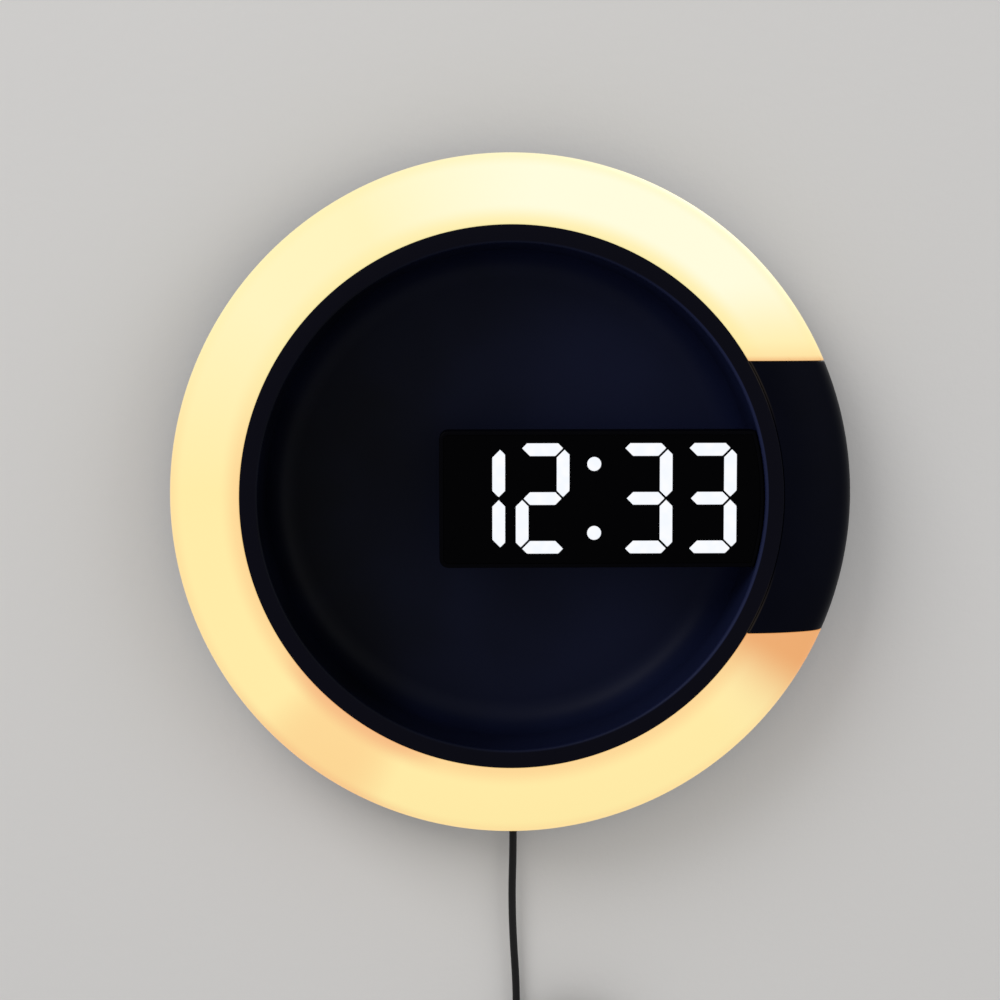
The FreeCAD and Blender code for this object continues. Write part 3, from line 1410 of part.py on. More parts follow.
def coil_nodes():
    """The coil's quarter-turn points and directions: four layers that spiral in and out at a steady rate."""
    rate = S.coil_pitch.value / 4
    layer = QUARTERS_PER_LAYER
    total = COIL_LAYERS * layer
    nodes = []
    for quarter in range(total + 1):
        inward = quarter // layer % 2 == 0
        within = quarter % layer
        turning_point = within == 0 and 0 < quarter < total
        steps_in = within if inward else layer - within
        radius = S.coil_radius.value - rate * steps_in
        climb = quarter // layer + (0.0 if within else -0.5)
        climb = min(max(climb, 0.0), COIL_LAYERS - 1.0)
        angle = math.pi + quarter * math.pi / 2
        outward = FreeCAD.Vector(math.cos(angle), 0, math.sin(angle))
        onward = FreeCAD.Vector(-math.sin(angle), 0, math.cos(angle))
        centre = FreeCAD.Vector(COIL_X.value, 0, COIL_Z.value)
        depth = S.coil_depth.value + S.coil_pitch.value * climb
        spiral = 0.0 if turning_point or quarter in (0, total) else rate * 2 / math.pi * (-1 if inward else 1)
        rise = S.coil_pitch.value / math.pi if turning_point else 0.0
        point = centre + outward * radius + FreeCAD.Vector(0, -depth, 0)
        direction = (onward * radius + outward * spiral + FreeCAD.Vector(0, -rise, 0)).normalize()
        nodes.append((point, direction))
    return nodes


def biarc(start, way_in, end, way_out):
    """Two tangent arcs from one point and direction to another."""
    span = end - start
    both = way_in + way_out
    share = 2 * (1 - way_in.dot(way_out))
    along = span.dot(both)
    reach = (-along + math.sqrt(along**2 + share * span.dot(span))) / share
    first_corner = start + way_in * reach
    last_corner = end - way_out * reach
    joint = (first_corner + last_corner) / 2
    return [tangent_arc(start, first_corner, joint), tangent_arc(joint, last_corner, end)]


def tangent_arc(start, corner, end):
    """The arc between two points whose tangents meet at a corner."""
    way_in = (corner - start).normalize()
    way_out = (end - corner).normalize()
    half_turn = way_in.getAngle(way_out) / 2
    radius = (corner - start).Length / math.tan(half_turn)
    bisector = (way_out - way_in).normalize()
    centre = corner + bisector * (radius / math.cos(half_turn))
    return Part.Arc(start, centre - bisector * radius, end).toShape()


def least_self_gap(edges, radius):
    """The smallest gap of a tube to itself, measured between points one millimetre apart."""
    points = []
    travelled = 0.0
    for edge in edges:
        count = max(int(edge.Length), 1)
        for step in range(count):
            length = edge.Length * step / count
            points.append((travelled + length, edge.valueAt(edge.getParameterByLength(length))))
        travelled += edge.Length
    least = 1e9
    cells = {}
    for along, point in points:
        home = tuple(math.floor(value / 6) for value in point)
        for dx in (-1, 0, 1):
            for dy in (-1, 0, 1):
                for dz in (-1, 0, 1):
                    for other_along, other in cells.get((home[0] + dx, home[1] + dy, home[2] + dz), ()):
                        if along - other_along > 12:
                            least = min(least, (point - other).Length)
        cells.setdefault(home, []).append((along, point))
    return least - 2 * radius


def make_lead():
    radius = S.lead_radius.value
    lead = [
        (S.lead_x, S.lead_depth, COLLAR_END),
        (S.lead_x, S.lead_depth, -143.5),
        (0.7, 4.8, -160),
        (1.2, 4.1, -178),
        (2.5, 3.3, -197),
        (S.coil_entry_x, S.coil_depth, -215),
        (S.coil_entry_x, S.coil_depth, S.coil_top),
    ]
    node("power_lead", wire_feature("lead", tube_shape(rounded_route(lead, "power_lead"), radius)))

    nodes = coil_nodes()
    first = nodes[0][0] + FreeCAD.Vector(0, 0, 2 * radius)
    last = nodes[-1][0] - FreeCAD.Vector(0, 0, 2 * radius)
    edges = [Part.LineSegment(first, nodes[0][0]).toShape()]
    for (start, way_in), (end, way_out) in zip(nodes, nodes[1:]):
        edges.extend(biarc(start, way_in, end, way_out))
    edges.append(Part.LineSegment(nodes[-1][0], last).toShape())
    print(f"power_lead_coil least gap to itself {least_self_gap(edges, radius):.2f}")
    node("power_lead_coil", wire_feature("coil", tube_shape(edges, radius)))

    tail = [
        (S.coil_entry_x, COIL_FRONT, COIL_Z - 2 * S.lead_radius),
        (S.coil_entry_x, COIL_FRONT, COIL_Z - 2 * S.lead_radius - 8),
        (S.plug_x, S.plug_depth, S.plug_top + 8),
        (S.plug_x, S.plug_depth, S.plug_top),
    ]
    node("power_lead_tail", wire_feature("tail", tube_shape(rounded_route(tail, "power_lead_tail"), radius)))


def make_tie_and_plug():
    inner_radius = S.coil_radius - S.coil_pitch / 4 * QUARTERS_PER_LAYER
    low_x = COIL_X + inner_radius - S.lead_radius - 2 * S.tie_gap
    high_x = COIL_X + S.coil_radius + S.lead_radius + S.tie_gap
    low = S.coil_depth - S.lead_radius - S.tie_gap
    high = COIL_FRONT + S.lead_radius + S.tie_gap
    wall, half = S.tie_wall, S.tie_half
    room = block("tie_room", (low_x, low, COIL_Z - half - 1), (high_x, high, COIL_Z + half + 1))
    band = block(
        "tie_band",
        (low_x - wall, low - wall, COIL_Z - half),
        (high_x + wall, high + wall, COIL_Z + half),
    )
    node("coil_tie", cut("tie", band, [room]))

    x, depth = S.plug_x, S.plug_depth
    body_top = S.plug_top - S.boot_length
    body_end = body_top - S.plug_length
    boot = upright("plug_boot", x, depth, S.plug_thickness / 2, body_top, S.plug_top, S.boot_radius)
    body = block(
        "plug_body",
        (x - S.plug_width / 2, depth - S.plug_thickness / 2, body_end),
        (x + S.plug_width / 2, depth + S.plug_thickness / 2, body_top),
    )
    solid = fuse("plug_solid", [body, boot])
    node("usb_plug", solid)
    outside = block(
        "usb_outside",
        (x - S.usb_width / 2, depth - S.usb_thickness / 2, body_end - S.usb_length),
        (x + S.usb_width / 2, depth + S.usb_thickness / 2, body_end),
    )
    inside = block(
        "usb_inside",
        (x - S.usb_width / 2 + S.usb_wall, depth - S.usb_thickness / 2 + S.usb_wall, body_end - S.usb_length - 1),
        (x + S.usb_width / 2 - S.usb_wall, depth + S.usb_thickness / 2 - S.usb_wall, body_end + 1),
    )
    node("usb_plug_shell", cut("usb_shell", outside, [inside]))
    tongue = block(
        "usb_tongue_block",
        (x - S.tongue_width / 2, depth + 0.2, body_end - S.usb_length + 1),
        (x + S.tongue_width / 2, depth + 0.2 + S.tongue_thickness - 0.2, body_end),
    )
    node("usb_tongue", tongue)


for make in (
    make_rear_housing,
    make_front_shell,
    make_light_diffuser,
    make_side_cover,
    make_ring_light,
    make_display_case,
    make_display_window,
    make_segment_reflector,
    make_digits,
    make_display_board,
    make_main_board,
    make_ribbon,
    make_buttons,
    make_cell,
    make_screws,
    make_wires,
    make_grommet,
    make_lead,
    make_tie_and_plug,
):
    make()

doc.recompute()

failed = [thing.Name for thing in doc.Objects if {"Invalid", "Error"} & set(thing.State)]
if failed:
    raise RuntimeError(f"failed features: {failed}")
for name, thing in NODES.items():
    shape = thing.Shape
    if shape.isNull() or not shape.isValid() or not shape.Solids:
        raise RuntimeError(f"bad shape in {name}")

os.makedirs("parts", exist_ok=True)
for name, thing in NODES.items():
    shape = thing.Shape
    print(f"{name}: {len(shape.Solids)} solids, {shape.Volume / 1000:.2f} cm3")
    shape.exportStep(f"parts/{name}.step")
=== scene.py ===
"""A round digital wall clock: a lit band round a deep dark bowl, and a display slab that reaches in."""

import logging
import math
from abc import ABC, abstractmethod
from dataclasses import dataclass
from enum import Enum
from typing import Any, Callable, Iterable, Sequence

import bmesh
import bpy
from mathutils import Matrix, Vector


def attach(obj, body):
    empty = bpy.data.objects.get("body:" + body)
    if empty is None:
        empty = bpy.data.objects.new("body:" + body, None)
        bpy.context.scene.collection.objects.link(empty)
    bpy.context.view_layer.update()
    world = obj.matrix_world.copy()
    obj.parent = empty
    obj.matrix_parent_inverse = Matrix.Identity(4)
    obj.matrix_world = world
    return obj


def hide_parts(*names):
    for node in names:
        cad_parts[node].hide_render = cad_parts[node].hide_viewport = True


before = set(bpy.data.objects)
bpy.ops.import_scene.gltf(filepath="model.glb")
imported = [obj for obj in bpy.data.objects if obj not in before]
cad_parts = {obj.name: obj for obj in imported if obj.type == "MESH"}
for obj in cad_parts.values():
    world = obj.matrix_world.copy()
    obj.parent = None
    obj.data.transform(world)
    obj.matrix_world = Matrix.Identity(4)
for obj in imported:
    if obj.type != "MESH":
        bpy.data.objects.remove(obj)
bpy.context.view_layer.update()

LOG = logging.getLogger("wall_clock")
MM = 0.001
FULL_TURN = 2 * math.pi
Colour = tuple[float, float, float, float]
Pair = tuple[float, float]
Spot = tuple[float, float, float]
Test = Callable[[Vector, Vector], bool]


@dataclass(frozen=True)
class Ring:
    """The sizes in millimetres that the ring's pieces and finishes share."""

    radius: float = 130.0
    band_inner: float = 102.5
    front: float = 42.0
    seat: float = 21.0
    ledge_top: float = 37.5
    gap_half: float = 51.5
    joint: float = 0.2


RING = Ring()


def at(x: float, depth: float, z: float = 0.0) -> Vector:
    """A point of the clock's frame in metres.

    Args:
        x: millimetres to the right of the ring's axis.
        depth: millimetres forward from the wall.
        z: millimetres above the ring's axis.

    Returns:
        The point, with +Y pointing into the wall.
    """
    return Vector((x * MM, -depth * MM, z * MM))


def shown(red: float, green: float, blue: float) -> Colour:
    """Turns a colour as a screen shows it into linear light.

    Args:
        red: the red channel, 0 to 255.
        green: the green channel.
        blue: the blue channel.

    Returns:
        The colour in linear light.
    """

    def linear(level: float) -> float:
        """One channel in linear light."""
        share = level / 255
        return share / 12.92 if share <= 0.04045 else ((share + 0.055) / 1.055) ** 2.4

    return (linear(red), linear(green), linear(blue), 1.0)


def toned(colour: Colour, red: float, green: float, blue: float) -> Colour:
    """A colour with each channel multiplied by a share."""
    return (colour[0] * red, colour[1] * green, colour[2] * blue, colour[3])


def arc(centre: Pair, radius: float, start: float, end: float, steps: int) -> list[Pair]:
    """Points along an arc.

    Args:
        centre: the arc's centre.
        radius: its radius.
        start: the angle of its first point, in degrees.
        end: the angle of its last point, in degrees.
        steps: how many chords it has.

    Returns:
        The points from start to end, both ends included.
    """
    turns = [math.radians(start + (end - start) * step / steps) for step in range(steps + 1)]
    return [(centre[0] + radius * math.cos(turn), centre[1] + radius * math.sin(turn)) for turn in turns]


def on_depth(depth: float) -> Test:
    """A test for what lies at a depth in millimetres from the wall."""
    return lambda place, way: abs(place.y + depth * MM) < 0.01 * MM


def runs_level(place: Vector, way: Vector) -> bool:
    """Whether an edge runs level."""
    return abs(way.z) < 0.001 * MM


def only_pick(*pieces: bpy.types.Object) -> None:
    """Selects some pieces and nothing else, in object mode.

    Args:
        pieces: the pieces, of which the first becomes the active one.
    """
    if bpy.context.mode == "EDIT_MESH":
        bpy.ops.object.mode_set(mode="OBJECT")
    bpy.ops.object.select_all(action="DESELECT")
    for piece in pieces:
        piece.select_set(True)
    if pieces:
        bpy.context.view_layer.objects.active = pieces[0]


def rename(piece: bpy.types.Object, name: str) -> None:
    """Gives a piece and its mesh a name."""
    piece.name = name
    piece.data.name = name


class Element(Enum):
    """What a selection is made of."""

    CORNERS = "VERT"
    EDGES = "EDGE"
    FACES = "FACE"

    def of(self, mesh: bmesh.types.BMesh) -> Iterable[tuple[Any, Vector, Vector]]:
        """Finds the place and the direction of each element.

        Args:
            mesh: the mesh that is being edited.

        Returns:
            Each element with its place and its direction or normal.
        """
        if self is Element.CORNERS:
            return [(corner, corner.co, corner.normal) for corner in mesh.verts]
        if self is Element.EDGES:
            ends = [(edge, edge.verts[0].co, edge.verts[1].co) for edge in mesh.edges]
            return [(edge, (start + end) / 2, end - start) for edge, start, end in ends]
        return [(face, face.calc_center_median(), face.normal) for face in mesh.faces]


class Workpiece:
    """One piece that is being shaped with edit-mode operators, in the clock's own frame."""

    def __init__(self, name: str, add: Callable[..., set[str]], **settings: Any) -> None:
        """Adds the primitive that the piece is shaped from.

        Args:
            name: the finished piece's name.
            add: the operator that adds the primitive.
            settings: the primitive's size and place.
        """
        only_pick()
        add(**settings)
        self.obj = bpy.context.object
        rename(self.obj, name)
        bpy.ops.object.transform_apply(location=True, rotation=True, scale=True)
        bpy.ops.object.mode_set(mode="EDIT")
        bpy.ops.mesh.select_mode(type="VERT")
        bpy.ops.mesh.select_all(action="SELECT")

    @classmethod
    def drawn(cls, name: str, points: Sequence[Vector], closed: bool = False) -> "Workpiece":
        """A line through points, made by pulling a new corner out of the last one.

        Args:
            name: the finished piece's name.
            points: the line's corners in metres.
            closed: whether the line runs back to its first corner.

        Returns:
            The workpiece, all selected.
        """
        piece = cls(name, bpy.ops.mesh.primitive_plane_add, size=MM, location=points[0])
        bpy.ops.mesh.merge(type="CENTER")
        route = [*points, points[0]] if closed else list(points)
        for here, there in zip(route, route[1:]):
            bpy.ops.mesh.extrude_vertices_move(TRANSFORM_OT_translate={"value": there - here})
        piece.weld()
        return piece

    @classmethod
    def pulled(cls, name: str, outline: Sequence[Vector], step: Vector) -> "Workpiece":
        """A closed outline filled with one face and pulled along a step.

        Args:
            name: the finished piece's name.
            outline: the outline's corners in metres.
            step: how far and which way it is pulled.

        Returns:
            The workpiece, with its faces turned outwards.
        """
        piece = cls.drawn(name, outline, True)
        piece.fill()
        piece.extrude(step)
        piece.outward()
        return piece

    @classmethod
    def turned(
        cls, name: str, section: Sequence[Pair], closed: bool, steps: int, angle: float = FULL_TURN
    ) -> "Workpiece":
        """A section spun round the ring's axis.

        Args:
            name: the finished piece's name.
            section: the section's corners as radius and depth in millimetres.
            closed: whether the section is a closed outline.
            steps: how many steps the spin has.
            angle: how far it turns; less than a full turn is centred on the right-hand side.

        Returns:
            The workpiece, all selected.
        """
        piece = cls.drawn(name, [at(radius, depth) for radius, depth in section], closed)
        if angle < FULL_TURN:
            bpy.ops.transform.rotate(value=angle / 2, orient_axis="Y", center_override=(0, 0, 0))
        piece.spin(steps, angle)
        if angle < FULL_TURN and abs(sum(corner.co.z for corner in piece.mesh().verts)) > MM * 50:
            bpy.ops.transform.rotate(value=-angle, orient_axis="Y", center_override=(0, 0, 0))
        return piece

    def mesh(self) -> bmesh.types.BMesh:
        """The mesh that is being edited."""
        return bmesh.from_edit_mesh(self.obj.data)

    def pick(self, kind: Element, test: Test, keep: bool = False) -> int:
        """Selects the elements that pass a test.

        Args:
            kind: corners, edges or faces.
            test: takes an element's place and its direction or normal.
            keep: whether what is selected stays selected.

        Returns:
            How many elements passed.
        """
        if not keep:
            bpy.ops.mesh.select_all(action="DESELECT")
        bpy.ops.mesh.select_mode(type=kind.value)
        mesh = self.mesh()
        chosen = [element for element, place, way in kind.of(mesh) if test(place, way)]
        for element in chosen:
            element.select_set(True)
        bmesh.update_edit_mesh(self.obj.data)
        return len(chosen)

    def pick_all(self) -> None:
        """Selects the whole piece."""
        bpy.ops.mesh.select_all(action="SELECT")

    def spin(
        self,
        steps: int,
        angle: float = FULL_TURN,
        centre: Sequence[float] = (0, 0, 0),
        axis: Spot = (0, 1, 0),
    ) -> None:
        """Spins what is selected round an axis and joins the seam and the poles.

        Args:
            steps: how many steps the spin has.
            angle: how far it turns, in radians.
            centre: a point of the axis, in metres.
            axis: the axis.
        """
        bpy.ops.mesh.spin(steps=steps, angle=angle, center=centre, axis=axis)
        self.weld()
        bpy.ops.mesh.normals_make_consistent(inside=False)

    def weld(self, distance: float = 0.002 * MM) -> None:
        """Merges corners that coincide."""
        self.pick_all()
        bpy.ops.mesh.remove_doubles(threshold=distance)

    def even_out(self, height: float, gap: float) -> None:
        """Merges crowded corners along a level cut, so that its edge bevels cleanly.

        Args:
            height: the cut's height above or below the ring's axis, in millimetres.
            gap: how near the corners must be to be merged, in millimetres.
        """
        self.pick(Element.CORNERS, lambda place, way: place.x > 0 and abs(place.z - height * MM) < 0.001 * MM)
        bpy.ops.mesh.remove_doubles(threshold=gap * MM)

    def fill(self) -> None:
        """Closes the selected outline with one face."""
        bpy.ops.mesh.edge_face_add()

    def extrude(self, step: Vector) -> None:
        """Pulls the selected faces along a step."""
        bpy.ops.mesh.extrude_region_move(TRANSFORM_OT_translate={"value": step})

    def inset(self, width: float, sink: float = 0.0) -> None:
        """Insets the selected faces by a width, and sinks them if asked to; both in millimetres."""
        bpy.ops.mesh.inset(thickness=width * MM, depth=-sink * MM)

    def bevel(self, width: float, segments: int = 3) -> None:
        """Rounds the selected edges by a width in millimetres."""
        bpy.ops.mesh.bevel(offset=width * MM, offset_type="OFFSET", segments=segments, affect="EDGES")

    def slice(self, place: Vector, normal: Vector, clear: bool = False, fill: bool = False) -> None:
        """Cuts the whole piece with a plane.

        Args:
            place: a point of the plane.
            normal: its normal.
            clear: whether what lies on the normal's side is cleared away.
            fill: whether the cut is filled.
        """
        self.pick_all()
        near = 0.0001 * MM
        bpy.ops.mesh.bisect(plane_co=place, plane_no=normal, clear_outer=clear, use_fill=fill, threshold=near)

    def outward(self) -> None:
        """Turns every face outwards."""
        self.pick_all()
        bpy.ops.mesh.normals_make_consistent(inside=False)

    def modify(self, kind: str, **settings: Any) -> None:
        """Adds a modifier, sets it and applies it.

        Args:
            kind: the modifier's type.
            settings: its settings.
        """
        only_pick(self.obj)
        modifier = self.obj.modifiers.new(kind.lower(), kind)
        for key, value in settings.items():
            setattr(modifier, key, value)
        bpy.ops.object.modifier_apply(modifier=modifier.name)
        bpy.ops.object.mode_set(mode="EDIT")

    def carve(self, tool: "Workpiece", operation: str = "DIFFERENCE") -> None:
        """Cuts a tool's shape out of this piece and throws the tool away."""
        self.modify("BOOLEAN", operation=operation, object=tool.obj, solver="EXACT")
        bpy.data.objects.remove(tool.obj)

    def done(self, smooth: float = 32.0) -> bpy.types.Object:
        """Ends the modelling and shades the piece smooth.

        Args:
            smooth: the angle in degrees past which an edge stays sharp.

        Returns:
            The finished piece.
        """
        only_pick(self.obj)
        bpy.ops.object.shade_smooth_by_angle(angle=math.radians(smooth))
        return self.obj


def copied(source: bpy.types.Object, name: str, move: Vector, turn: float = 0.0) -> bpy.types.Object:
    """A copy of a piece with its own mesh, turned and moved in that mesh.

    Args:
        source: the piece to copy.
        name: the copy's name.
        move: how far the copy lies from the piece, in metres.
        turn: how far it is turned about the wall's normal first, in radians.

    Returns:
        The copy.
    """
    only_pick(source)
    bpy.ops.object.duplicate(linked=False)
    copy = bpy.context.object
    rename(copy, name)
    copy.rotation_euler = (0.0, turn, 0.0)
    copy.location = move
    bpy.ops.object.transform_apply(location=True, rotation=True, scale=True)
    return copy


def joined(pieces: Sequence[bpy.types.Object], name: str) -> bpy.types.Object:
    """Joins several pieces into one object.

    Args:
        pieces: the pieces.
        name: the joined object's name.

    Returns:
        The joined object.
    """
    only_pick(*pieces)
    bpy.ops.object.join()
    rename(pieces[0], name)
    return pieces[0]


def upright_block(name: str, sides: Pair, depths: Pair, heights: Pair, corner: float) -> Workpiece:
    """A block with rounded upright edges.

    Args:
        name: the block's name.
        sides: its left and right ends.
        depths: its back and front, in millimetres from the wall.
        heights: its bottom and top.
        corner: the radius of its upright edges.

    Returns:
        The block.
    """
    left, right = sides[0] + corner, sides[1] - corner
    back, front = depths[0] + corner, depths[1] - corner
    turns = ((right, front, 0), (left, front, 90), (left, back, 180), (right, back, 270))
    outline = [spot for x, depth, start in turns for spot in arc((x, depth), corner, start, start + 90, 6)]
    foot = [at(x, depth, heights[0]) for x, depth in outline]
    return Workpiece.pulled(name, foot, at(0, 0, heights[1] - heights[0]))


class Sock:
    """A shader socket that takes part in sums, so that a mask can be written as an expression."""

    def __init__(self, shader: "Shader", socket: bpy.types.NodeSocket) -> None:
        """Wraps an output socket of a shader's node."""
        self.shader = shader
        self.socket = socket

    def maths(self, operation: str, *values: "Sock | float") -> "Sock":
        """A Math node on some values."""
        return self.shader.node("ShaderNodeMath", {"operation": operation}, dict(enumerate(values)))

    def __add__(self, other: "Sock | float") -> "Sock":
        """This value plus another."""
        return self.maths("ADD", self, other)

    __radd__ = __add__

    def __sub__(self, other: "Sock | float") -> "Sock":
        """This value minus another."""
        return self.maths("SUBTRACT", self, other)

    def __rsub__(self, other: "Sock | float") -> "Sock":
        """Another value minus this one."""
        return self.maths("SUBTRACT", other, self)

    def __mul__(self, other: "Sock | float") -> "Sock":
        """This value times another."""
        return self.maths("MULTIPLY", self, other)

    __rmul__ = __mul__

    def __truediv__(self, other: "Sock | float") -> "Sock":
        """This value over another."""
        return self.maths("DIVIDE", self, other)

    def __rtruediv__(self, other: "Sock | float") -> "Sock":
        """Another value over this one."""
        return self.maths("DIVIDE", other, self)

    def __abs__(self) -> "Sock":
        """This value without its sign."""
        return self.maths("ABSOLUTE", self)

    def sine(self) -> "Sock":
        """The sine of this value in radians."""
        return self.maths("SINE", self)

    def root(self) -> "Sock":
        """The square root of this value."""
        return self.maths("SQRT", self)

    def ramp(self, low: float, high: float) -> "Sock":
        """Turns this value into a mask with a smooth start and end.

        Args:
            low: the value that gives 0.
            high: the value that gives 1.

        Returns:
            How far the value lies from one to the other.
        """
        return self.shader.node(
            "ShaderNodeMapRange",
            {"interpolation_type": "SMOOTHSTEP"},
            {"Value": self, "From Min": low, "From Max": high},
        )


class Shader:
    """A material's node tree round one Principled shader."""

    def __init__(self, name: str) -> None:
        """Starts a material with its Principled shader.

        Args:
            name: the material's name.
        """
        self.material = bpy.data.materials.new(name)
        self.material.use_nodes = True
        self.tree = self.material.node_tree
        self.principled = next(node for node in self.tree.nodes if node.type == "BSDF_PRINCIPLED")

    def node(
        self,
        kind: str,
        settings: dict[str, Any] | None = None,
        inputs: dict[Any, Any] | None = None,
        output: int | str = 0,
    ) -> Sock:
        """Adds a node.

        Args:
            kind: the node's type.
            settings: its own settings, and a ramp's stops as pairs of place and colour.
            inputs: a value or another node's socket for each of its sockets, by name or number.
            output: which of its outputs is handed on.

        Returns:
            The output, wrapped.
        """
        made = self.tree.nodes.new(kind)
        for key, value in (settings or {}).items():
            if key == "stops":
                ramp = made.color_ramp
                while len(ramp.elements) < len(value):
                    ramp.elements.new(1.0)
                for element, (place, colour) in zip(ramp.elements, value):
                    element.position = place
                    element.color = colour
            else:
                setattr(made, key, value)
        for key, value in (inputs or {}).items():
            self.feed(made.inputs[key], value)
        return Sock(self, made.outputs[output])

    def feed(self, socket: bpy.types.NodeSocket, value: Any) -> None:
        """Links a wrapped socket to an input, or sets the input to a plain value.

        Args:
            socket: the input.
            value: the wrapped socket or the plain value.
        """
        if isinstance(value, Sock):
            self.tree.links.new(value.socket, socket)
        else:
            socket.default_value = value

    def set(self, **values: Any) -> None:
        """Feeds the shader's own sockets, named with underscores in place of spaces."""
        for key, value in values.items():
            self.feed(self.principled.inputs[key.replace("_", " ")], value)

    def place(self) -> Sock:
        """Object coordinates, which are the clock's frame in metres."""
        return self.node("ShaderNodeTexCoord", output="Object")

    def axes(self) -> tuple[Sock, Sock, Sock]:
        """The three object coordinates one by one."""
        split = self.node("ShaderNodeSeparateXYZ", None, {0: self.place()}).socket.node
        return tuple(Sock(self, socket) for socket in split.outputs)

    def noise(self, size: float, detail: float = 2.0, rough: float = 0.5, stretch: Spot = (1, 1, 1)) -> Sock:
        """Soft noise.

        Args:
            size: the size of its features in metres.
            detail: how many finer layers it has.
            rough: how strong the finer layers are.
            stretch: how much longer the features are along each axis.

        Returns:
            The noise, about 0.5 on average.
        """
        scale = [1 / (size * way) for way in stretch]
        spot = self.node("ShaderNodeMapping", None, {"Vector": self.place(), "Scale": scale})
        inputs = {"Vector": spot, "Scale": 1.0, "Detail": detail, "Roughness": rough}
        return self.node("ShaderNodeTexNoise", None, inputs, "Fac")

    def mix(self, share: "Sock | float", low: "Sock | Colour", high: "Sock | Colour") -> Sock:
        """Blends two colours by a share from 0 to 1."""
        return self.node("ShaderNodeMix", {"data_type": "RGBA"}, {0: share, 6: low, 7: high}, 2)

    def bump(self, height: Sock, depth: float) -> Sock:
        """A normal from a height of 0 to 1 and a depth in metres."""
        return self.node("ShaderNodeBump", None, {"Height": height, "Distance": depth, "Strength": 1.0})


def from_axis(x: Sock, z: Sock) -> Sock:
    """The distance from the ring's axis."""
    return (x * x + z * z).root()


@dataclass(frozen=True)
class PaintedSeamHighlight:
    """A painted highlight: the band's light caught along the seam between bezel and side cover, strongest
    near the seam's two ends.
    """

    colour: Colour = shown(40, 35, 32)
    inner: float = (RING.band_inner - 0.8) * MM
    outer: float = (RING.band_inner + 0.7) * MM
    end: float = (RING.gap_half + RING.joint) * MM
    first: float = 0.024
    full: float = 0.052

    def over(self, shader: Shader, tone: Sock) -> Sock:
        """Lays the painted highlight over a colour.

        Args:
            shader: the shader of the piece.
            tone: the piece's own colour.

        Returns:
            The colour with the painted highlight on it.
        """
        x, _, z = shader.axes()
        radius = from_axis(x, z)
        in_gap = x.ramp(0.04, 0.05) * (self.end - abs(z)).ramp(0.0, 0.0004)
        across = (radius - self.inner).ramp(0.0, 0.0003) * (self.outer - radius).ramp(0.0, 0.0003)
        return shader.mix(in_gap * abs(z).ramp(self.first, self.full) * across, tone, self.colour)


class Finish(ABC):
    """A surface finish that can be put on pieces."""

    def make(self, name: str) -> bpy.types.Material:
        """Builds the finish's material.

        Args:
            name: the material's name.

        Returns:
            The material.
        """
        shader = Shader(name)
        self.dress(shader)
        return shader.material

    @abstractmethod
    def dress(self, shader: Shader) -> None:
        """Gives a new shader this finish."""


@dataclass(frozen=True)
class MouldedPlastic(Finish):
    """Moulded plastic with a fine eroded grain and slightly uneven gloss."""

    colour: Colour
    roughness: float = 0.42
    reflection: float = 0.35
    grain: float = 0.00045
    grain_depth: float = 0.000012
    lighter: float = 1.25
    # a painted highlight along the seam, if the finish has one
    painted_seam_light: PaintedSeamHighlight | None = None

    def dress(self, shader: Shader) -> None:
        """Mixes two near tones of the plastic, with a grain in their gloss.

        Args:
            shader: the new shader.
        """
        drift = shader.noise(0.03, 3.0)
        grain = shader.noise(self.grain, 1.0)
        light = toned(self.colour, self.lighter, self.lighter, self.lighter)
        tone = shader.mix(drift.ramp(0.3, 0.7), self.colour, light)
        # painted highlight: the band's light caught along the seam
        if self.painted_seam_light:
            tone = self.painted_seam_light.over(shader, tone)
        shader.set(
            Base_Color=tone,
            Roughness=self.roughness - 0.05 + 0.1 * drift + 0.06 * grain,
            Normal=shader.bump(grain, self.grain_depth),
            Specular_IOR_Level=self.reflection,
        )


@dataclass(frozen=True)
class BowlPlastic(Finish):
    """Satin navy plastic in the bowl that turns darker and glossier on the flat bezel round it, with painted
    shade on the bowl's left and a painted highlight on its lip's right-hand side.
    """

    bowl: Colour
    # the painted shade on the bowl's left-hand side
    painted_shade: Colour
    bezel: Colour
    # the painted highlight on the lip's right-hand side
    edge: Colour
    # a painted highlight along the bezel's seam
    painted_seam_light: PaintedSeamHighlight
    lip: float = 0.0958
    reflection: float = 0.06

    def dress(self, shader: Shader) -> None:
        """Paints shade into the bowl from left to right, and paints highlights on its lip and along the
        bezel's seam.

        Args:
            shader: the new shader.
        """
        x, y, z = shader.axes()
        radius = from_axis(x, z)
        on_bezel = (radius - self.lip).ramp(0.0, 0.0008)
        within_lip = (self.lip + 0.0008 - radius).ramp(0.0, 0.0004)
        # painted highlight: the lip's rounded edge lightened on the right-hand side
        lip_highlight_mask = (-1 * y).ramp(0.0406, 0.0412) * within_lip * x.ramp(0.04, 0.09)
        grain = shader.noise(0.0006, 1.0)
        # painted shade: darker towards the left where the rim's shadow falls, with a little random drift
        drift = 0.85 * x.ramp(-0.07, 0.085) + 0.15 * shader.noise(0.05, 2.0).ramp(0.3, 0.7)
        scuff = shader.noise(0.0009, 3.0, 0.7, (14, 1, 1)).ramp(0.68, 0.8)
        tone = shader.mix(drift, self.painted_shade, self.bowl)
        tone = shader.mix(lip_highlight_mask, shader.mix(on_bezel, tone, self.bezel), self.edge)
        shader.set(
            Base_Color=self.painted_seam_light.over(shader, tone),
            Roughness=0.42 - 0.12 * on_bezel + 0.06 * grain - 0.06 * scuff,
            Normal=shader.bump(grain, 0.000006),
            Specular_IOR_Level=self.reflection,
        )


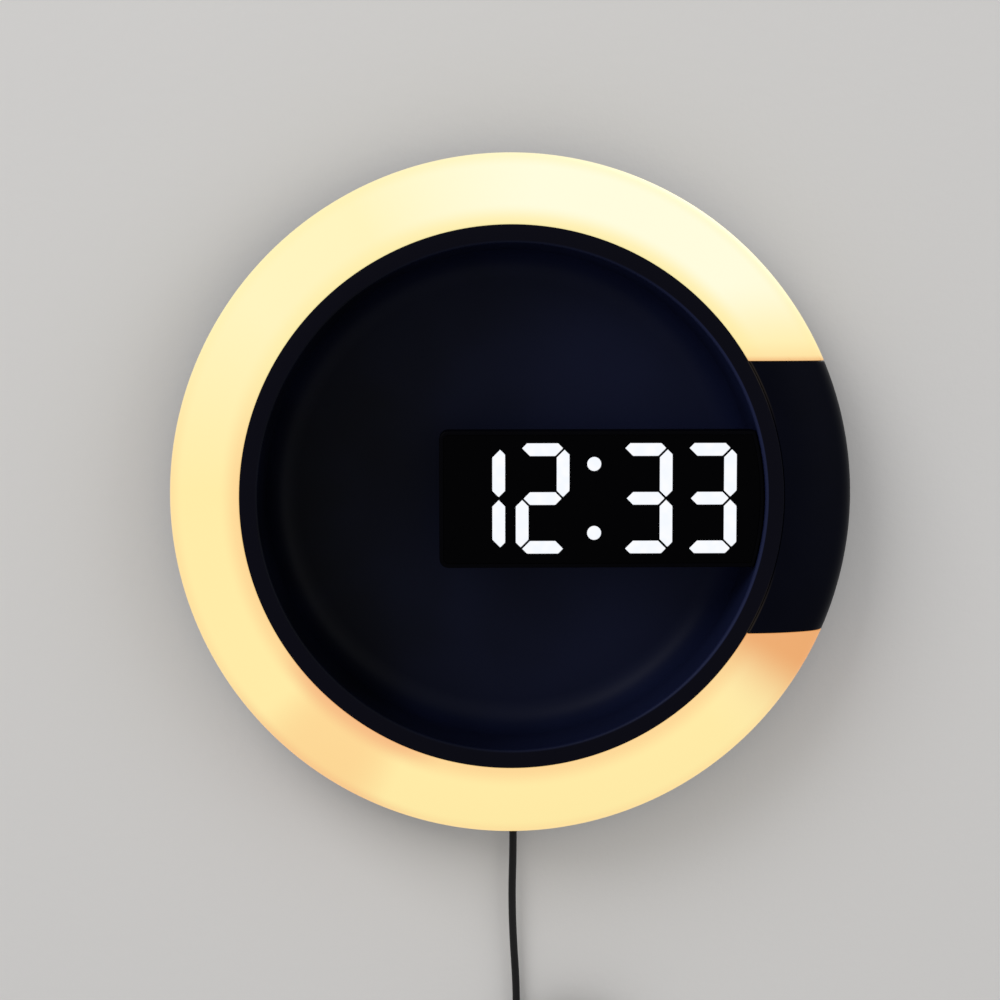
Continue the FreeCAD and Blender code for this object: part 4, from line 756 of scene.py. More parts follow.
@dataclass(frozen=True)
class GlossyPanel(Finish):
    """Near-black acrylic with a polished face and a faint orange-peel ripple."""

    colour: Colour
    roughness: float = 0.09
    reflection: float = 0.25

    def dress(self, shader: Shader) -> None:
        """Polishes the panel, with smears that are a little duller.

        Args:
            shader: the new shader.
        """
        ripple = shader.noise(0.006, 1.0)
        smear = shader.noise(0.02, 4.0, 0.6)
        shader.set(
            Base_Color=self.colour,
            Roughness=self.roughness + 0.08 * smear.ramp(0.45, 0.75),
            Normal=shader.bump(ripple, 0.000004),
            Specular_IOR_Level=self.reflection,
        )


@dataclass(frozen=True)
class LitBandGlow(Finish):
    """Milky plastic lit from inside: cream, paler at the upper right, warmer at its edges and ends."""

    cream: Colour = shown(255, 234, 162)
    vanilla: Colour = shown(255, 242, 187)
    pale: Colour = shown(255, 252, 222)
    butter: Colour = shown(252, 237, 170)
    honey: Colour = shown(252, 211, 143)
    blush: Colour = shown(252, 211, 141)
    peach: Colour = shown(244, 180, 121)
    amber: Colour = shown(235, 163, 98)
    body: Colour = (0.13, 0.11, 0.075, 1.0)
    strength: float = 0.9
    inner: float = RING.band_inner * MM
    outer: float = RING.radius * MM
    end: float = RING.gap_half * MM

    def dress(self, shader: Shader) -> None:
        """Colours the glow by its direction from the ring's axis, its edges and its two ends.

        Args:
            shader: the new shader.
        """
        x, _, z = shader.axes()
        radius = from_axis(x, z)
        across = (radius - self.inner) / (self.outer - self.inner)
        facing = 0.5 + 0.5 * (0.42 * x + 0.91 * z) / radius
        low_left = (-0.588 * x - 0.809 * z) / radius
        stops = ((0.3, self.cream), (0.6, self.vanilla), (0.8, self.vanilla), (0.97, self.pale))
        tone = shader.node("ShaderNodeValToRGB", {"stops": stops}, {0: facing}, "Color")
        cloud = shader.noise(0.035, 2.0)
        tone = shader.mix(low_left.ramp(0.970, 0.9994) * (0.85 + 0.2 * cloud), tone, self.blush)
        edge_tone = shader.mix(low_left.ramp(0.927, 0.99), self.honey, self.peach)
        edge_tone = shader.mix(facing.ramp(0.3, 0.58), edge_tone, self.butter)
        edge = 0.95 * (0.28 - across).ramp(0.0, 0.28) + 0.6 * (across - 0.78).ramp(0.0, 0.22)
        tone = shader.mix(edge, tone, edge_tone)
        above, below = (x.ramp(0.0, 0.001) * (side * z).ramp(0.0, 0.001) for side in (1, -1))
        layers = ((0.03, 0.85, self.cream), (0.008, 0.5, self.honey), (0.0022, 0.6, self.amber))
        for reach, share, warmer in layers:
            tone = shader.mix(above * (1 - (z - self.end).ramp(0.0, reach)) * share, tone, warmer)
        near_lower_end = 1 - (-1 * z / radius).ramp(0.485, 0.755)
        tone = shader.mix(below * near_lower_end * near_lower_end, tone, self.amber)
        shader.set(
            Base_Color=self.body,
            Emission_Color=tone,
            Emission_Strength=self.strength,
            Roughness=0.46 + 0.08 * cloud,
            Normal=shader.bump(shader.noise(0.0012, 1.0), 0.000004),
            Specular_IOR_Level=0.04,
        )


@dataclass(frozen=True)
class DigitGlow(Finish):
    """Cool white light behind a milky cap."""

    colour: Colour = shown(250, 251, 255)
    strength: float = 0.92

    def dress(self, shader: Shader) -> None:
        """Lights the cap, a little cooler in places.

        Args:
            shader: the new shader.
        """
        spread = shader.noise(0.004, 1.0)
        cooler = toned(self.colour, 0.94, 0.97, 1.0)
        shader.set(
            Base_Color=(0.09, 0.09, 0.09, 1.0),
            Emission_Color=shader.mix(spread.ramp(0.35, 0.7), cooler, self.colour),
            Emission_Strength=self.strength,
            Roughness=0.3 + 0.05 * spread,
            Specular_IOR_Level=0.3,
        )


@dataclass(frozen=True)
class SoftSheath(Finish):
    """A soft cord sheath or moulded rubber, dull with a faint grain."""

    colour: Colour
    roughness: float = 0.5
    grain: float = 0.0006

    def dress(self, shader: Shader) -> None:
        """Dulls the sheath, with paler worn patches.

        Args:
            shader: the new shader.
        """
        grain = shader.noise(self.grain, 2.0)
        worn = shader.noise(0.02, 3.0)
        shader.set(
            Base_Color=shader.mix(worn.ramp(0.4, 0.8), self.colour, toned(self.colour, 1.4, 1.4, 1.4)),
            Roughness=self.roughness + 0.12 * grain,
            Normal=shader.bump(grain, 0.00001),
            Specular_IOR_Level=0.2,
        )


@dataclass(frozen=True)
class Metal(Finish):
    """Plated or turned metal with fine brushing along one way."""

    colour: Colour
    roughness: float = 0.28
    along: Spot = (1.0, 1.0, 12.0)

    def dress(self, shader: Shader) -> None:
        """Brushes the metal, with patches that are a little darker and warmer.

        Args:
            shader: the new shader.
        """
        brush = shader.noise(0.00018, 2.0, 0.5, self.along)
        patch = shader.noise(0.006, 3.0)
        shader.set(
            Base_Color=shader.mix(patch.ramp(0.35, 0.75), self.colour, toned(self.colour, 0.82, 0.81, 0.79)),
            Metallic=1.0,
            Roughness=self.roughness - 0.06 + 0.14 * patch + 0.08 * brush,
            Normal=shader.bump(brush, 0.000004),
        )


@dataclass(frozen=True)
class CircuitBoard(Finish):
    """Solder mask over copper tracks that run across the board."""

    mask: Colour
    track: Colour
    pitch: float = 0.0024

    def dress(self, shader: Shader) -> None:
        """Lays raised tracks under the mask.

        Args:
            shader: the new shader.
        """
        x, _, _ = shader.axes()
        wander = shader.noise(0.008, 1.0)
        lanes = ((x + 0.004 * wander) * (FULL_TURN / self.pitch)).sine().ramp(0.55, 0.7)
        runs = shader.noise(0.006, 0.0, 0.5, (1, 1, 3)).ramp(0.48, 0.52)
        tracks = lanes * runs
        shader.set(
            Base_Color=shader.mix(tracks, self.mask, self.track),
            Roughness=0.38 - 0.08 * tracks,
            Normal=shader.bump(tracks, 0.00003),
        )


@dataclass(frozen=True)
class Ribbon(Finish):
    """Flat cable with one ridge for each conductor."""

    colour: Colour
    pitch: float = 0.0011

    def dress(self, shader: Shader) -> None:
        """Ridges the cable, with painted shade in the grooves.

        Args:
            shader: the new shader.
        """
        _, _, z = shader.axes()
        ridge = 0.5 + 0.5 * (z * (FULL_TURN / self.pitch)).sine()
        # painted shade: the grooves are darker than the ridges
        shader.set(
            Base_Color=shader.mix(ridge, toned(self.colour, 0.6, 0.6, 0.6), self.colour),
            Roughness=0.4 + 0.1 * ridge,
            Normal=shader.bump(ridge, 0.0002),
        )


class Paint:
    """The clock's finishes by name, each built the first time that a piece asks for it."""

    FINISHES: dict[str, Finish] = {
        "navy_case": MouldedPlastic(shown(9, 11, 25), 0.4, 0.15),
        # bowl_navy: painted shade across the bowl, painted highlights on the lip and the seam
        "bowl_navy": BowlPlastic(
            bowl=shown(19, 24, 50),
            painted_shade=shown(2, 3, 9),
            bezel=shown(4, 4, 15),
            edge=shown(27, 32, 60),
            painted_seam_light=PaintedSeamHighlight(),
        ),
        # the side cover also carries the painted seam highlight
        "cover_navy": MouldedPlastic(shown(4, 5, 14), 0.4, 0.025, painted_seam_light=PaintedSeamHighlight()),
        "slab_black": MouldedPlastic(shown(1, 1, 3), 0.34, 0.025),
        "window_gloss": GlossyPanel(shown(1, 1, 2), 0.09, 0.02),
        "band_glow": LitBandGlow(),
        "digit_glow": DigitGlow(),
        "tray_white": MouldedPlastic((0.82, 0.82, 0.8, 1.0), 0.6, 0.4),
        "board_white": CircuitBoard((0.8, 0.81, 0.78, 1.0), (0.7, 0.71, 0.66, 1.0), 0.006),
        "board_green": CircuitBoard((0.01, 0.11, 0.035, 1.0), (0.03, 0.22, 0.07, 1.0)),
        "chip_black": MouldedPlastic((0.016, 0.016, 0.017, 1.0), 0.55, 0.4, 0.0002),
        "led_yellow": MouldedPlastic((0.85, 0.62, 0.14, 1.0), 0.3, 0.5, 0.0003),
        "bright_metal": Metal((0.76, 0.76, 0.75, 1.0), 0.22),
        "plug_metal": Metal((0.5, 0.5, 0.52, 1.0), 0.3),
        "screw_steel": Metal((0.52, 0.52, 0.53, 1.0), 0.32, (6.0, 1.0, 1.0)),
        "spring_brass": Metal((0.8, 0.66, 0.38, 1.0), 0.25),
        "bead_brown": MouldedPlastic((0.24, 0.11, 0.03, 1.0), 0.35, 0.5, 0.0002),
        "socket_white": MouldedPlastic((0.78, 0.76, 0.68, 1.0), 0.5, 0.4),
        "ribbon_grey": Ribbon((0.56, 0.57, 0.6, 1.0)),
        "wire_red": SoftSheath((0.32, 0.02, 0.02, 1.0)),
        "button_grey": MouldedPlastic(shown(58, 60, 68), 0.45, 0.4, 0.0004),
        "cap_dark": MouldedPlastic(shown(24, 26, 36), 0.42, 0.35),
        "cord_dark": SoftSheath(shown(15, 14, 15), 0.5),
        "tie_black": SoftSheath(shown(16, 16, 18), 0.75, 0.0009),
    }

    def __init__(self) -> None:
        """Starts with no material built."""
        self.built: dict[str, bpy.types.Material] = {}

    def material(self, name: str) -> bpy.types.Material:
        """Finds or builds the material of a finish.

        Args:
            name: the finish's name.

        Returns:
            The material.
        """
        if name not in self.built:
            self.built[name] = self.FINISHES[name].make(name)
        return self.built[name]

    def coat(self, piece: bpy.types.Object, name: str) -> None:
        """Gives a piece a finish all over.

        Args:
            piece: the piece.
            name: the finish's name.
        """
        if not piece.material_slots:
            piece.data.materials.append(None)
        for slot in piece.material_slots:
            slot.material = self.material(name)


PAINT = Paint()


def place_piece(
    piece: bpy.types.Object, finish: str, body: str, stands_for: Sequence[str]
) -> None:
    """Paints a finished piece, lets it ride on its body and hides the solids that it stands for.

    Args:
        piece: the finished piece.
        finish: the name of its finish.
        body: the body that it moves with.
        stands_for: the solids that it is shown in place of.
    """
    PAINT.coat(piece, finish)
    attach(piece, body)
    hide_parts(*stands_for)
    LOG.info("%s: %d faces", piece.name, len(getattr(piece.data, "polygons", ())))


@dataclass
class Viewpoint:
    """The camera, at the photograph's viewing angle."""

    place: Spot = (-0.02209, -0.86212, 0.06381)
    yaw: float = -0.0213
    pitch: float = -0.07815
    roll: float = 0.00099
    lens: float = 79.02

    def build(self) -> bpy.types.Object:
        """Makes the camera and looks through it.

        Returns:
            The camera.
        """
        data = bpy.data.cameras.new("photo_camera")
        data.lens = self.lens
        data.sensor_width = 36.0
        data.clip_start = 0.01
        camera = bpy.data.objects.new("photo_camera", data)
        bpy.context.scene.collection.objects.link(camera)
        turn = (
            Matrix.Rotation(self.yaw, 4, "Z")
            @ Matrix.Rotation(self.pitch, 4, "X")
            @ Matrix.Rotation(self.roll, 4, "Y")
            @ Matrix.Rotation(math.pi / 2, 4, "X")
        )
        camera.matrix_world = Matrix.Translation(self.place) @ turn
        bpy.context.scene.camera = camera
        return camera


@dataclass
class SupplyLead:
    """The thin lead that hangs from the ring, wound into a tied coil below the picture."""

    diameter: float = 3.0
    exit: Spot = (1.2, 5.2, -134.0)
    coil_centre: Pair = (25.1, -228.5)
    coil_radius: float = 22.5
    coil_pitch: float = 3.5
    first_depth: float = 3.0
    layers: int = 4
    quarters: int = 13
    points_per_quarter: int = 4

    def coil_point(self, turned: float) -> Vector:
        """A point of the coil.

        Args:
            turned: how many quarter turns it lies from the coil's start at 9 o'clock.

        Returns:
            The control point, a little outside the wound line that the curve draws inside it.
        """
        layer, within = divmod(turned, self.quarters)
        steps_in = within if layer % 2 == 0 else self.quarters - within
        radius = self.coil_radius - self.coil_pitch / 4 * steps_in
        half_step = math.pi / 4 / self.points_per_quarter
        radius /= (3 + math.cos(2 * half_step)) / 4
        climb = 0.0
        for change in range(1, self.layers):
            climb += min(max((turned - (change * self.quarters - 1)) / 2, 0.0), 1.0)
        angle = math.pi + turned * math.pi / 2
        return at(
            self.coil_centre[0] + radius * math.cos(angle),
            self.first_depth + self.coil_pitch * climb,
            self.coil_centre[1] + radius * math.sin(angle),
        )

    def route(self) -> list[Vector]:
        """Strings the lead's control points together.

        Returns:
            The points from the grommet down, round the coil and on to the plug.
        """
        down = [
            self.exit,
            (1.2, 5.2, -143.5),
            (0.7, 4.8, -160.0),
            (1.2, 4.1, -178.0),
            (2.5, 3.3, -197.0),
            (2.6, 3.0, -215.0),
            (2.6, 3.0, -225.5),
        ]
        tail = [(2.6, 13.5, -231.5), (2.6, 13.5, -239.5), (-0.4, 9.0, -252.0), (-0.4, 9.0, -260.0)]
        steps = self.layers * self.quarters * self.points_per_quarter
        wound = [self.coil_point(step / self.points_per_quarter) for step in range(steps + 1)]
        return [*(at(*spot) for spot in down), *wound, *(at(*spot) for spot in tail)]

    def build(self) -> bpy.types.Object:
        """Makes the lead as one smooth curve.

        Returns:
            The lead.
        """
        data = bpy.data.curves.new("supply_lead", "CURVE")
        data.dimensions = "3D"
        data.bevel_depth = self.diameter / 2 * MM
        data.bevel_resolution = 4
        data.resolution_u = 4
        data.use_fill_caps = True
        spline = data.splines.new("NURBS")
        points = self.route()
        spline.points.add(len(points) - 1)
        for corner, place in zip(spline.points, points):
            corner.co = (*place, 1.0)
        spline.order_u = 3
        spline.use_endpoint_u = True
        lead = bpy.data.objects.new("supply_lead", data)
        bpy.context.scene.collection.objects.link(lead)
        solids = ("power_lead", "power_lead_coil", "power_lead_tail")
        place_piece(lead, "cord_dark", "clock", solids)
        return lead


def on_end(place: Vector, end: float) -> bool:
    """Whether a place lies on the level cut at a height in millimetres, on the right-hand side."""
    return place.x > 0 and abs(place.z - end * MM) < 0.01 * MM


@dataclass
class DomeSection:
    """The domed section that the lit band and the side cover share."""

    drop: float = 17.0
    shoulder: float = 7.0
    wall: float = 2.2
    leg_wall: float = 1.8
    edge_round: float = 0.4

    def dome(self, inset: float, steps: int = 22) -> list[Pair]:
        """Draws the dome as a wide arc over its crown and a tight one at its rim.

        Args:
            inset: how far the line lies inside the dome's surface.
            steps: how many chords the wide arc has.

        Returns:
            The line from the inner edge to the rim.
        """
        width = RING.radius - RING.band_inner
        crown = (width**2 + self.drop**2 - 2 * self.drop * self.shoulder) / (2 * (width + self.shoulder))
        across = (width - crown) / (crown + self.shoulder)
        down = (self.drop - self.shoulder) / (crown + self.shoulder)
        crown_radius = crown * (1 + across) / down
        rim_radius = self.shoulder * (1 + down) / across
        meeting = math.degrees(math.atan2(across, down))
        wide = arc((RING.band_inner, RING.front - crown_radius), crown_radius - inset, 90, meeting, steps)
        rim_centre = (RING.radius - rim_radius, RING.front - self.drop)
        tight = arc(rim_centre, rim_radius - inset, meeting, 0, steps * 2 // 3)
        return [*wide, *tight[1:]]

    def shell(self) -> list[Pair]:
        """Draws the wall with its rim and its short inner leg.

        Returns:
            The closed outline.
        """
        leg = RING.band_inner + self.leg_wall
        edge = self.edge_round
        corner = arc((RING.band_inner + edge, RING.front - edge), edge, 180, 90, 4)
        outer = [point for point in self.dome(0.0) if point[0] > RING.band_inner + edge * 1.2]
        inner = [point for point in reversed(self.dome(self.wall)) if point[0] > leg]
        return [
            *corner,
            *outer,
            (RING.radius, RING.seat),
            (RING.radius - self.wall, RING.seat),
            *inner,
            (leg, inner[-1][1] + 0.02),
            (leg, RING.ledge_top),
            (RING.band_inner, RING.ledge_top),
        ]


@dataclass
class LitBand:
    """The milky C-shaped cover of the lit ring, open at the right."""

    section: DomeSection
    steps: int = 288
    end_round: float = 0.25
    crowded: float = 0.3

    def build(self) -> None:
        """Models the band and lights it."""
        piece = Workpiece.turned("lit_band", self.section.shell(), True, self.steps)
        ends = (RING.gap_half, -RING.gap_half)
        for end in ends:
            piece.slice(at(0, 0, end), Vector((0, 0, 1)))
        piece.pick(Element.FACES, lambda place, way: place.x > 0 and abs(place.z) < RING.gap_half * MM)
        bpy.ops.mesh.delete(type="FACE")
        for end in ends:
            piece.even_out(end, self.crowded)
        for end in ends:
            piece.pick(Element.EDGES, lambda place, way: on_end(place, end) and abs(way.z) < 0.005 * MM)
            piece.fill()
        piece.outward()
        piece.pick(Element.EDGES, lambda place, way: any(on_end(place, end) for end in ends))
        piece.bevel(self.end_round, 2)
        place_piece(piece.done(), "band_glow", "clock", ("light_diffuser",))


@dataclass
class SideCover:
    """The opaque block that fills the ring's gap at the right."""

    section: DomeSection
    half: float = RING.gap_half - RING.joint
    wall: float = 1.8
    edge_round: float = 0.35
    steps: int = 72
    sweep: float = 64.0
    crowded: float = 0.4
    hollow_sink: float = 4.0

    def block(self, name: str, inset: float, sink: float) -> Workpiece:
        """A domed block cut off level at both ends.

        Args:
            name: the block's name.
            inset: how far its dome and its ends lie inside the cover's.
            sink: how far its underside lies behind the cover's.

        Returns:
            The block, closed on all sides.
        """
        inner = RING.band_inner + inset
        dome = [point for point in self.section.dome(inset) if point[0] > inner]
        outline = [
            (inner, RING.ledge_top - sink),
            (inner, dome[0][1]),
            *dome,
            (RING.radius - inset, RING.seat - sink),
        ]
        piece = Workpiece.turned(name, outline, True, self.steps, math.radians(self.sweep))
        for side in (1, -1):
            piece.slice(at(0, 0, side * (self.half - inset)), Vector((0, 0, side)), clear=True, fill=True)
            piece.even_out(side * (self.half - inset), self.crowded)
        piece.outward()
        return piece

    def on_seen_edge(self, place: Vector, way: Vector) -> bool:
        """Tells the block's visible sharp edges from the rest.

        Args:
            place: the edge's middle.
            way: its direction.

        Returns:
            Whether it lies along the inner top edge or along the top of an end wall.
        """
        reach = math.hypot(place.x, place.z) / MM
        slope = (RING.ledge_top - RING.seat) / (RING.radius - RING.band_inner)
        above_underside = -place.y / MM - RING.seat - slope * (RING.radius - reach)
        at_end = abs(abs(place.z) - self.half * MM) < 0.001 * MM and runs_level(place, way)
        inner_top = abs(place.y + RING.front * MM) < 0.02 * MM and reach < RING.band_inner + 0.02
        return above_underside > 0.05 and (at_end or inner_top)

    def build(self) -> None:
        """Models the cover as a block with rounded edges, and hollows it out from the back."""
        hollow = self.block("cover_hollow", self.wall, self.hollow_sink)
        piece = self.block("side_cover_shell", 0.0, 0.0)
        piece.pick(Element.EDGES, self.on_seen_edge)
        piece.bevel(self.edge_round, 3)
        piece.carve(hollow)
        place_piece(piece.done(), "cover_navy", "clock", ("side_cover",))


@dataclass
class BowlShell:
    """The flat dark bezel inside the ring and the deep round bowl behind it."""

    bowl_radius: float = 95.4
    draft: float = 2.5
    floor: float = 6.0
    fillet: float = 12.0
    wall: float = 1.8
    lip: float = 1.2
    bezel_radius: float = RING.band_inner - RING.joint
    bezel_round: float = 0.35
    bezel_back: float = 40.0
    skirt: float = 1.6
    ledge_radius: float = 105.3
    ledge_bottom: float = 36.0
    steps: int = 288

    def wall_radius(self, depth: float) -> float:
        """The radius of the bowl's drafted wall at a depth."""
        return self.bowl_radius - (RING.front - depth) * math.tan(math.radians(self.draft))

    def outline(self) -> list[Pair]:
        """Draws the section of the bowl and its bezel.

        Returns:
            The outline from the bowl's centre to the bezel and back behind the wall.
        """
        tilt, upright = math.sin(math.radians(self.draft)), math.cos(math.radians(self.draft))
        centre_depth = self.floor + self.fillet
        centre = (self.wall_radius(centre_depth - self.fillet * tilt) - self.fillet * upright, centre_depth)
        lip_low = RING.front - self.lip * (1 - tilt)
        lip_centre = (self.wall_radius(lip_low) + self.lip * upright, RING.front - self.lip)
        edge = (self.bezel_radius - self.bezel_round, RING.front - self.bezel_round)
        return [
            (0.0, self.floor),
            (centre[0] * 0.5, self.floor),
            *arc(centre, self.fillet, -90, -self.draft, 18),
            *arc(lip_centre, self.lip, 180 - self.draft, 90, 8),
            *arc(edge, self.bezel_round, 90, 0, 4),
            (self.bezel_radius, RING.ledge_top),
            (self.ledge_radius, RING.ledge_top),
            (self.ledge_radius, self.ledge_bottom),
            (self.bezel_radius - self.skirt, self.ledge_bottom),
            (self.bezel_radius - self.skirt, self.bezel_back),
            (self.wall_radius(self.bezel_back) + self.wall / upright, self.bezel_back),
            *arc(centre, self.fillet + self.wall, -self.draft, -90, 18),
            (0.0, self.floor - self.wall),
        ]

    def build(self) -> None:
        """Models the bowl and its bezel as one shell."""
        piece = Workpiece.turned("bowl_shell", self.outline(), False, self.steps)
        piece.outward()
        place_piece(piece.done(), "bowl_navy", "clock", ("front_shell",))


@dataclass
class DisplaySlab:
    """The slab that carries the digits, with two rounded corners at its free end."""

    left: float = -27.4
    middle: float = -0.4
    height: float = 51.6
    corner: float = 3.4
    back: float = 26.0
    front: float = 40.4
    wall: float = 1.5
    floor: float = 27.6
    end_back: float = 94.40
    end_front: float = 95.03
    end_from: float = 84.6
    edge_round: float = 0.45

    def outline(self) -> list[Vector]:
        """Draws the slab's back.

        Returns:
            The closed outline, with its right end parallel to the bowl's wall.
        """
        top, bottom = self.middle + self.height / 2, self.middle - self.height / 2
        high, low = (math.degrees(math.asin(z / self.end_back)) for z in (top, bottom))
        left = self.left + self.corner
        flat = [
            *arc((0.0, 0.0), self.end_back, low, high, 24),
            *arc((left, top - self.corner), self.corner, 90, 180, 8),
            *arc((left, bottom + self.corner), self.corner, 180, 270, 8),
        ]
        return [at(x, self.back, z) for x, z in flat]

    def build(self) -> None:
        """Models the slab's case as an open tray."""
        piece = Workpiece.pulled("slab_case", self.outline(), at(0, self.front - self.back))
        on_face = on_depth(self.front)
        piece.pick(Element.CORNERS, lambda place, way: on_face(place, way) and place.x > self.end_from * MM)
        bpy.ops.transform.resize(value=(self.end_front / self.end_back, 1, 1), center_override=(0, 0, 0))
        piece.pick(Element.EDGES, on_face)
        piece.bevel(self.edge_round, 3)
        piece.pick(Element.FACES, on_face)
        piece.inset(self.wall - self.edge_round)
        piece.extrude(at(0, self.floor - self.front))
        piece.outward()
        place_piece(piece.done(), "slab_black", "clock", ("display_case",))


@dataclass
class DigitCaps:
    """The lit segments of the digits and the colon, with mitred corners and a cut-off outer corner."""

    height: float = 41.5
    width: float = 20.1
    bar: float = 4.7
    gap: float = 0.85
    corner: float = 4.2
    middle: float = -0.1
    front: float = 40.25
    depth: float = 4.0
    edge_round: float = 0.3
    corner_round: float = 0.4
    colon: Pair = (30.85, 13.0)
    colon_radius: float = 2.6
    digits: tuple[tuple[str, float, str], ...] = (
        ("hour_tens", -2.7, "bc"),
        ("hour_units", 21.5, "abged"),
        ("minute_tens", 60.3, "abgcd"),
        ("minute_units", 84.5, "abgcd"),
    )

    def outline(self, letter: str) -> list[Pair]:
        """Draws one segment of a digit whose right edge is at 0.

        Args:
            letter: the segment: a to f clockwise from the top, and g in the middle.

        Returns:
            The segment's outline.
        """
        left, right, wide, up = -self.width, 0.0, self.bar, self.height / 2
        shift = self.gap / math.sqrt(2)
        near, off = (self.corner - shift) / 2, (self.corner + shift) / 2
        if letter == "g":
            return [
                (left + wide / 2 + shift, 0),
                (left + wide + shift, wide / 2),
                (right - wide - shift, wide / 2),
                (right - wide / 2 - shift, 0),
                (right - wide - shift, -wide / 2),
                (left + wide + shift, -wide / 2),
            ]
        side = 1 if letter in "abf" else -1
        if letter in "ad":
            return [
                (left + self.corner, up * side),
                (right - self.corner, up * side),
                (right - off, (up - near) * side),
                (right - wide - shift, (up - wide) * side),
                (left + wide + shift, (up - wide) * side),
                (left + off, (up - near) * side),
            ]
        edge, inwards = (right, -1) if letter in "bc" else (left, 1)
        return [
            (edge, (up - self.corner) * side),
            (edge + near * inwards, (up - off) * side),
            (edge + wide * inwards, (up - wide - shift) * side),
            (edge + wide * inwards, (shift + wide / 2) * side),
            (edge + wide / 2 * inwards, shift * side),
            (edge, (shift + wide / 2) * side),
        ]

    def cap(self, name: str, outline: Sequence[Pair], corner: float = 0.0) -> bpy.types.Object:
        """One lit cap.

        Args:
            name: the cap's name.
            outline: its outline as seen from the front.
            corner: the width of the rounding of its upright corners.

        Returns:
            The cap, with softly rounded front edges.
        """
        foot = [at(x, self.front - self.depth, z + self.middle) for x, z in outline]
        piece = Workpiece.pulled(name, foot, at(0, self.depth))
        if corner:
            piece.pick(Element.EDGES, lambda place, way: abs(way.y) > 0.5 * self.depth * MM)
            piece.bevel(corner, 3)
        piece.pick(Element.EDGES, on_depth(self.front))
        piece.bevel(self.edge_round, 3)
        return piece.done(50)

    def build(self) -> None:
        """Models each segment once, and sets the four digits and the colon from copies."""
        masters = {}
        for letter in "abcdeg":
            masters[letter] = self.cap(f"segment_{letter}", self.outline(letter), self.corner_round)
        for name, right, letters in self.digits:
            segments = [copied(masters[letter], f"{name}_{letter}", at(right, 0)) for letter in letters]
            digit = joined(segments, f"{name}_caps")
            place_piece(digit, "digit_glow", "clock", (f"digit_{name}",))
        for master in masters.values():
            bpy.data.objects.remove(master)
        dot = arc((0.0, 0.0), self.colon_radius, 0, 360 - 360 / 32, 31)
        upper = self.cap("colon_caps", [(self.colon[0] + x, self.colon[1] + z) for x, z in dot])
        lower = copied(upper, "colon_lower", at(0, 0, -2 * self.colon[1]))
        colon = joined([upper, lower], "colon_caps")
        place_piece(colon, "digit_glow", "clock", ("colon_dots",))


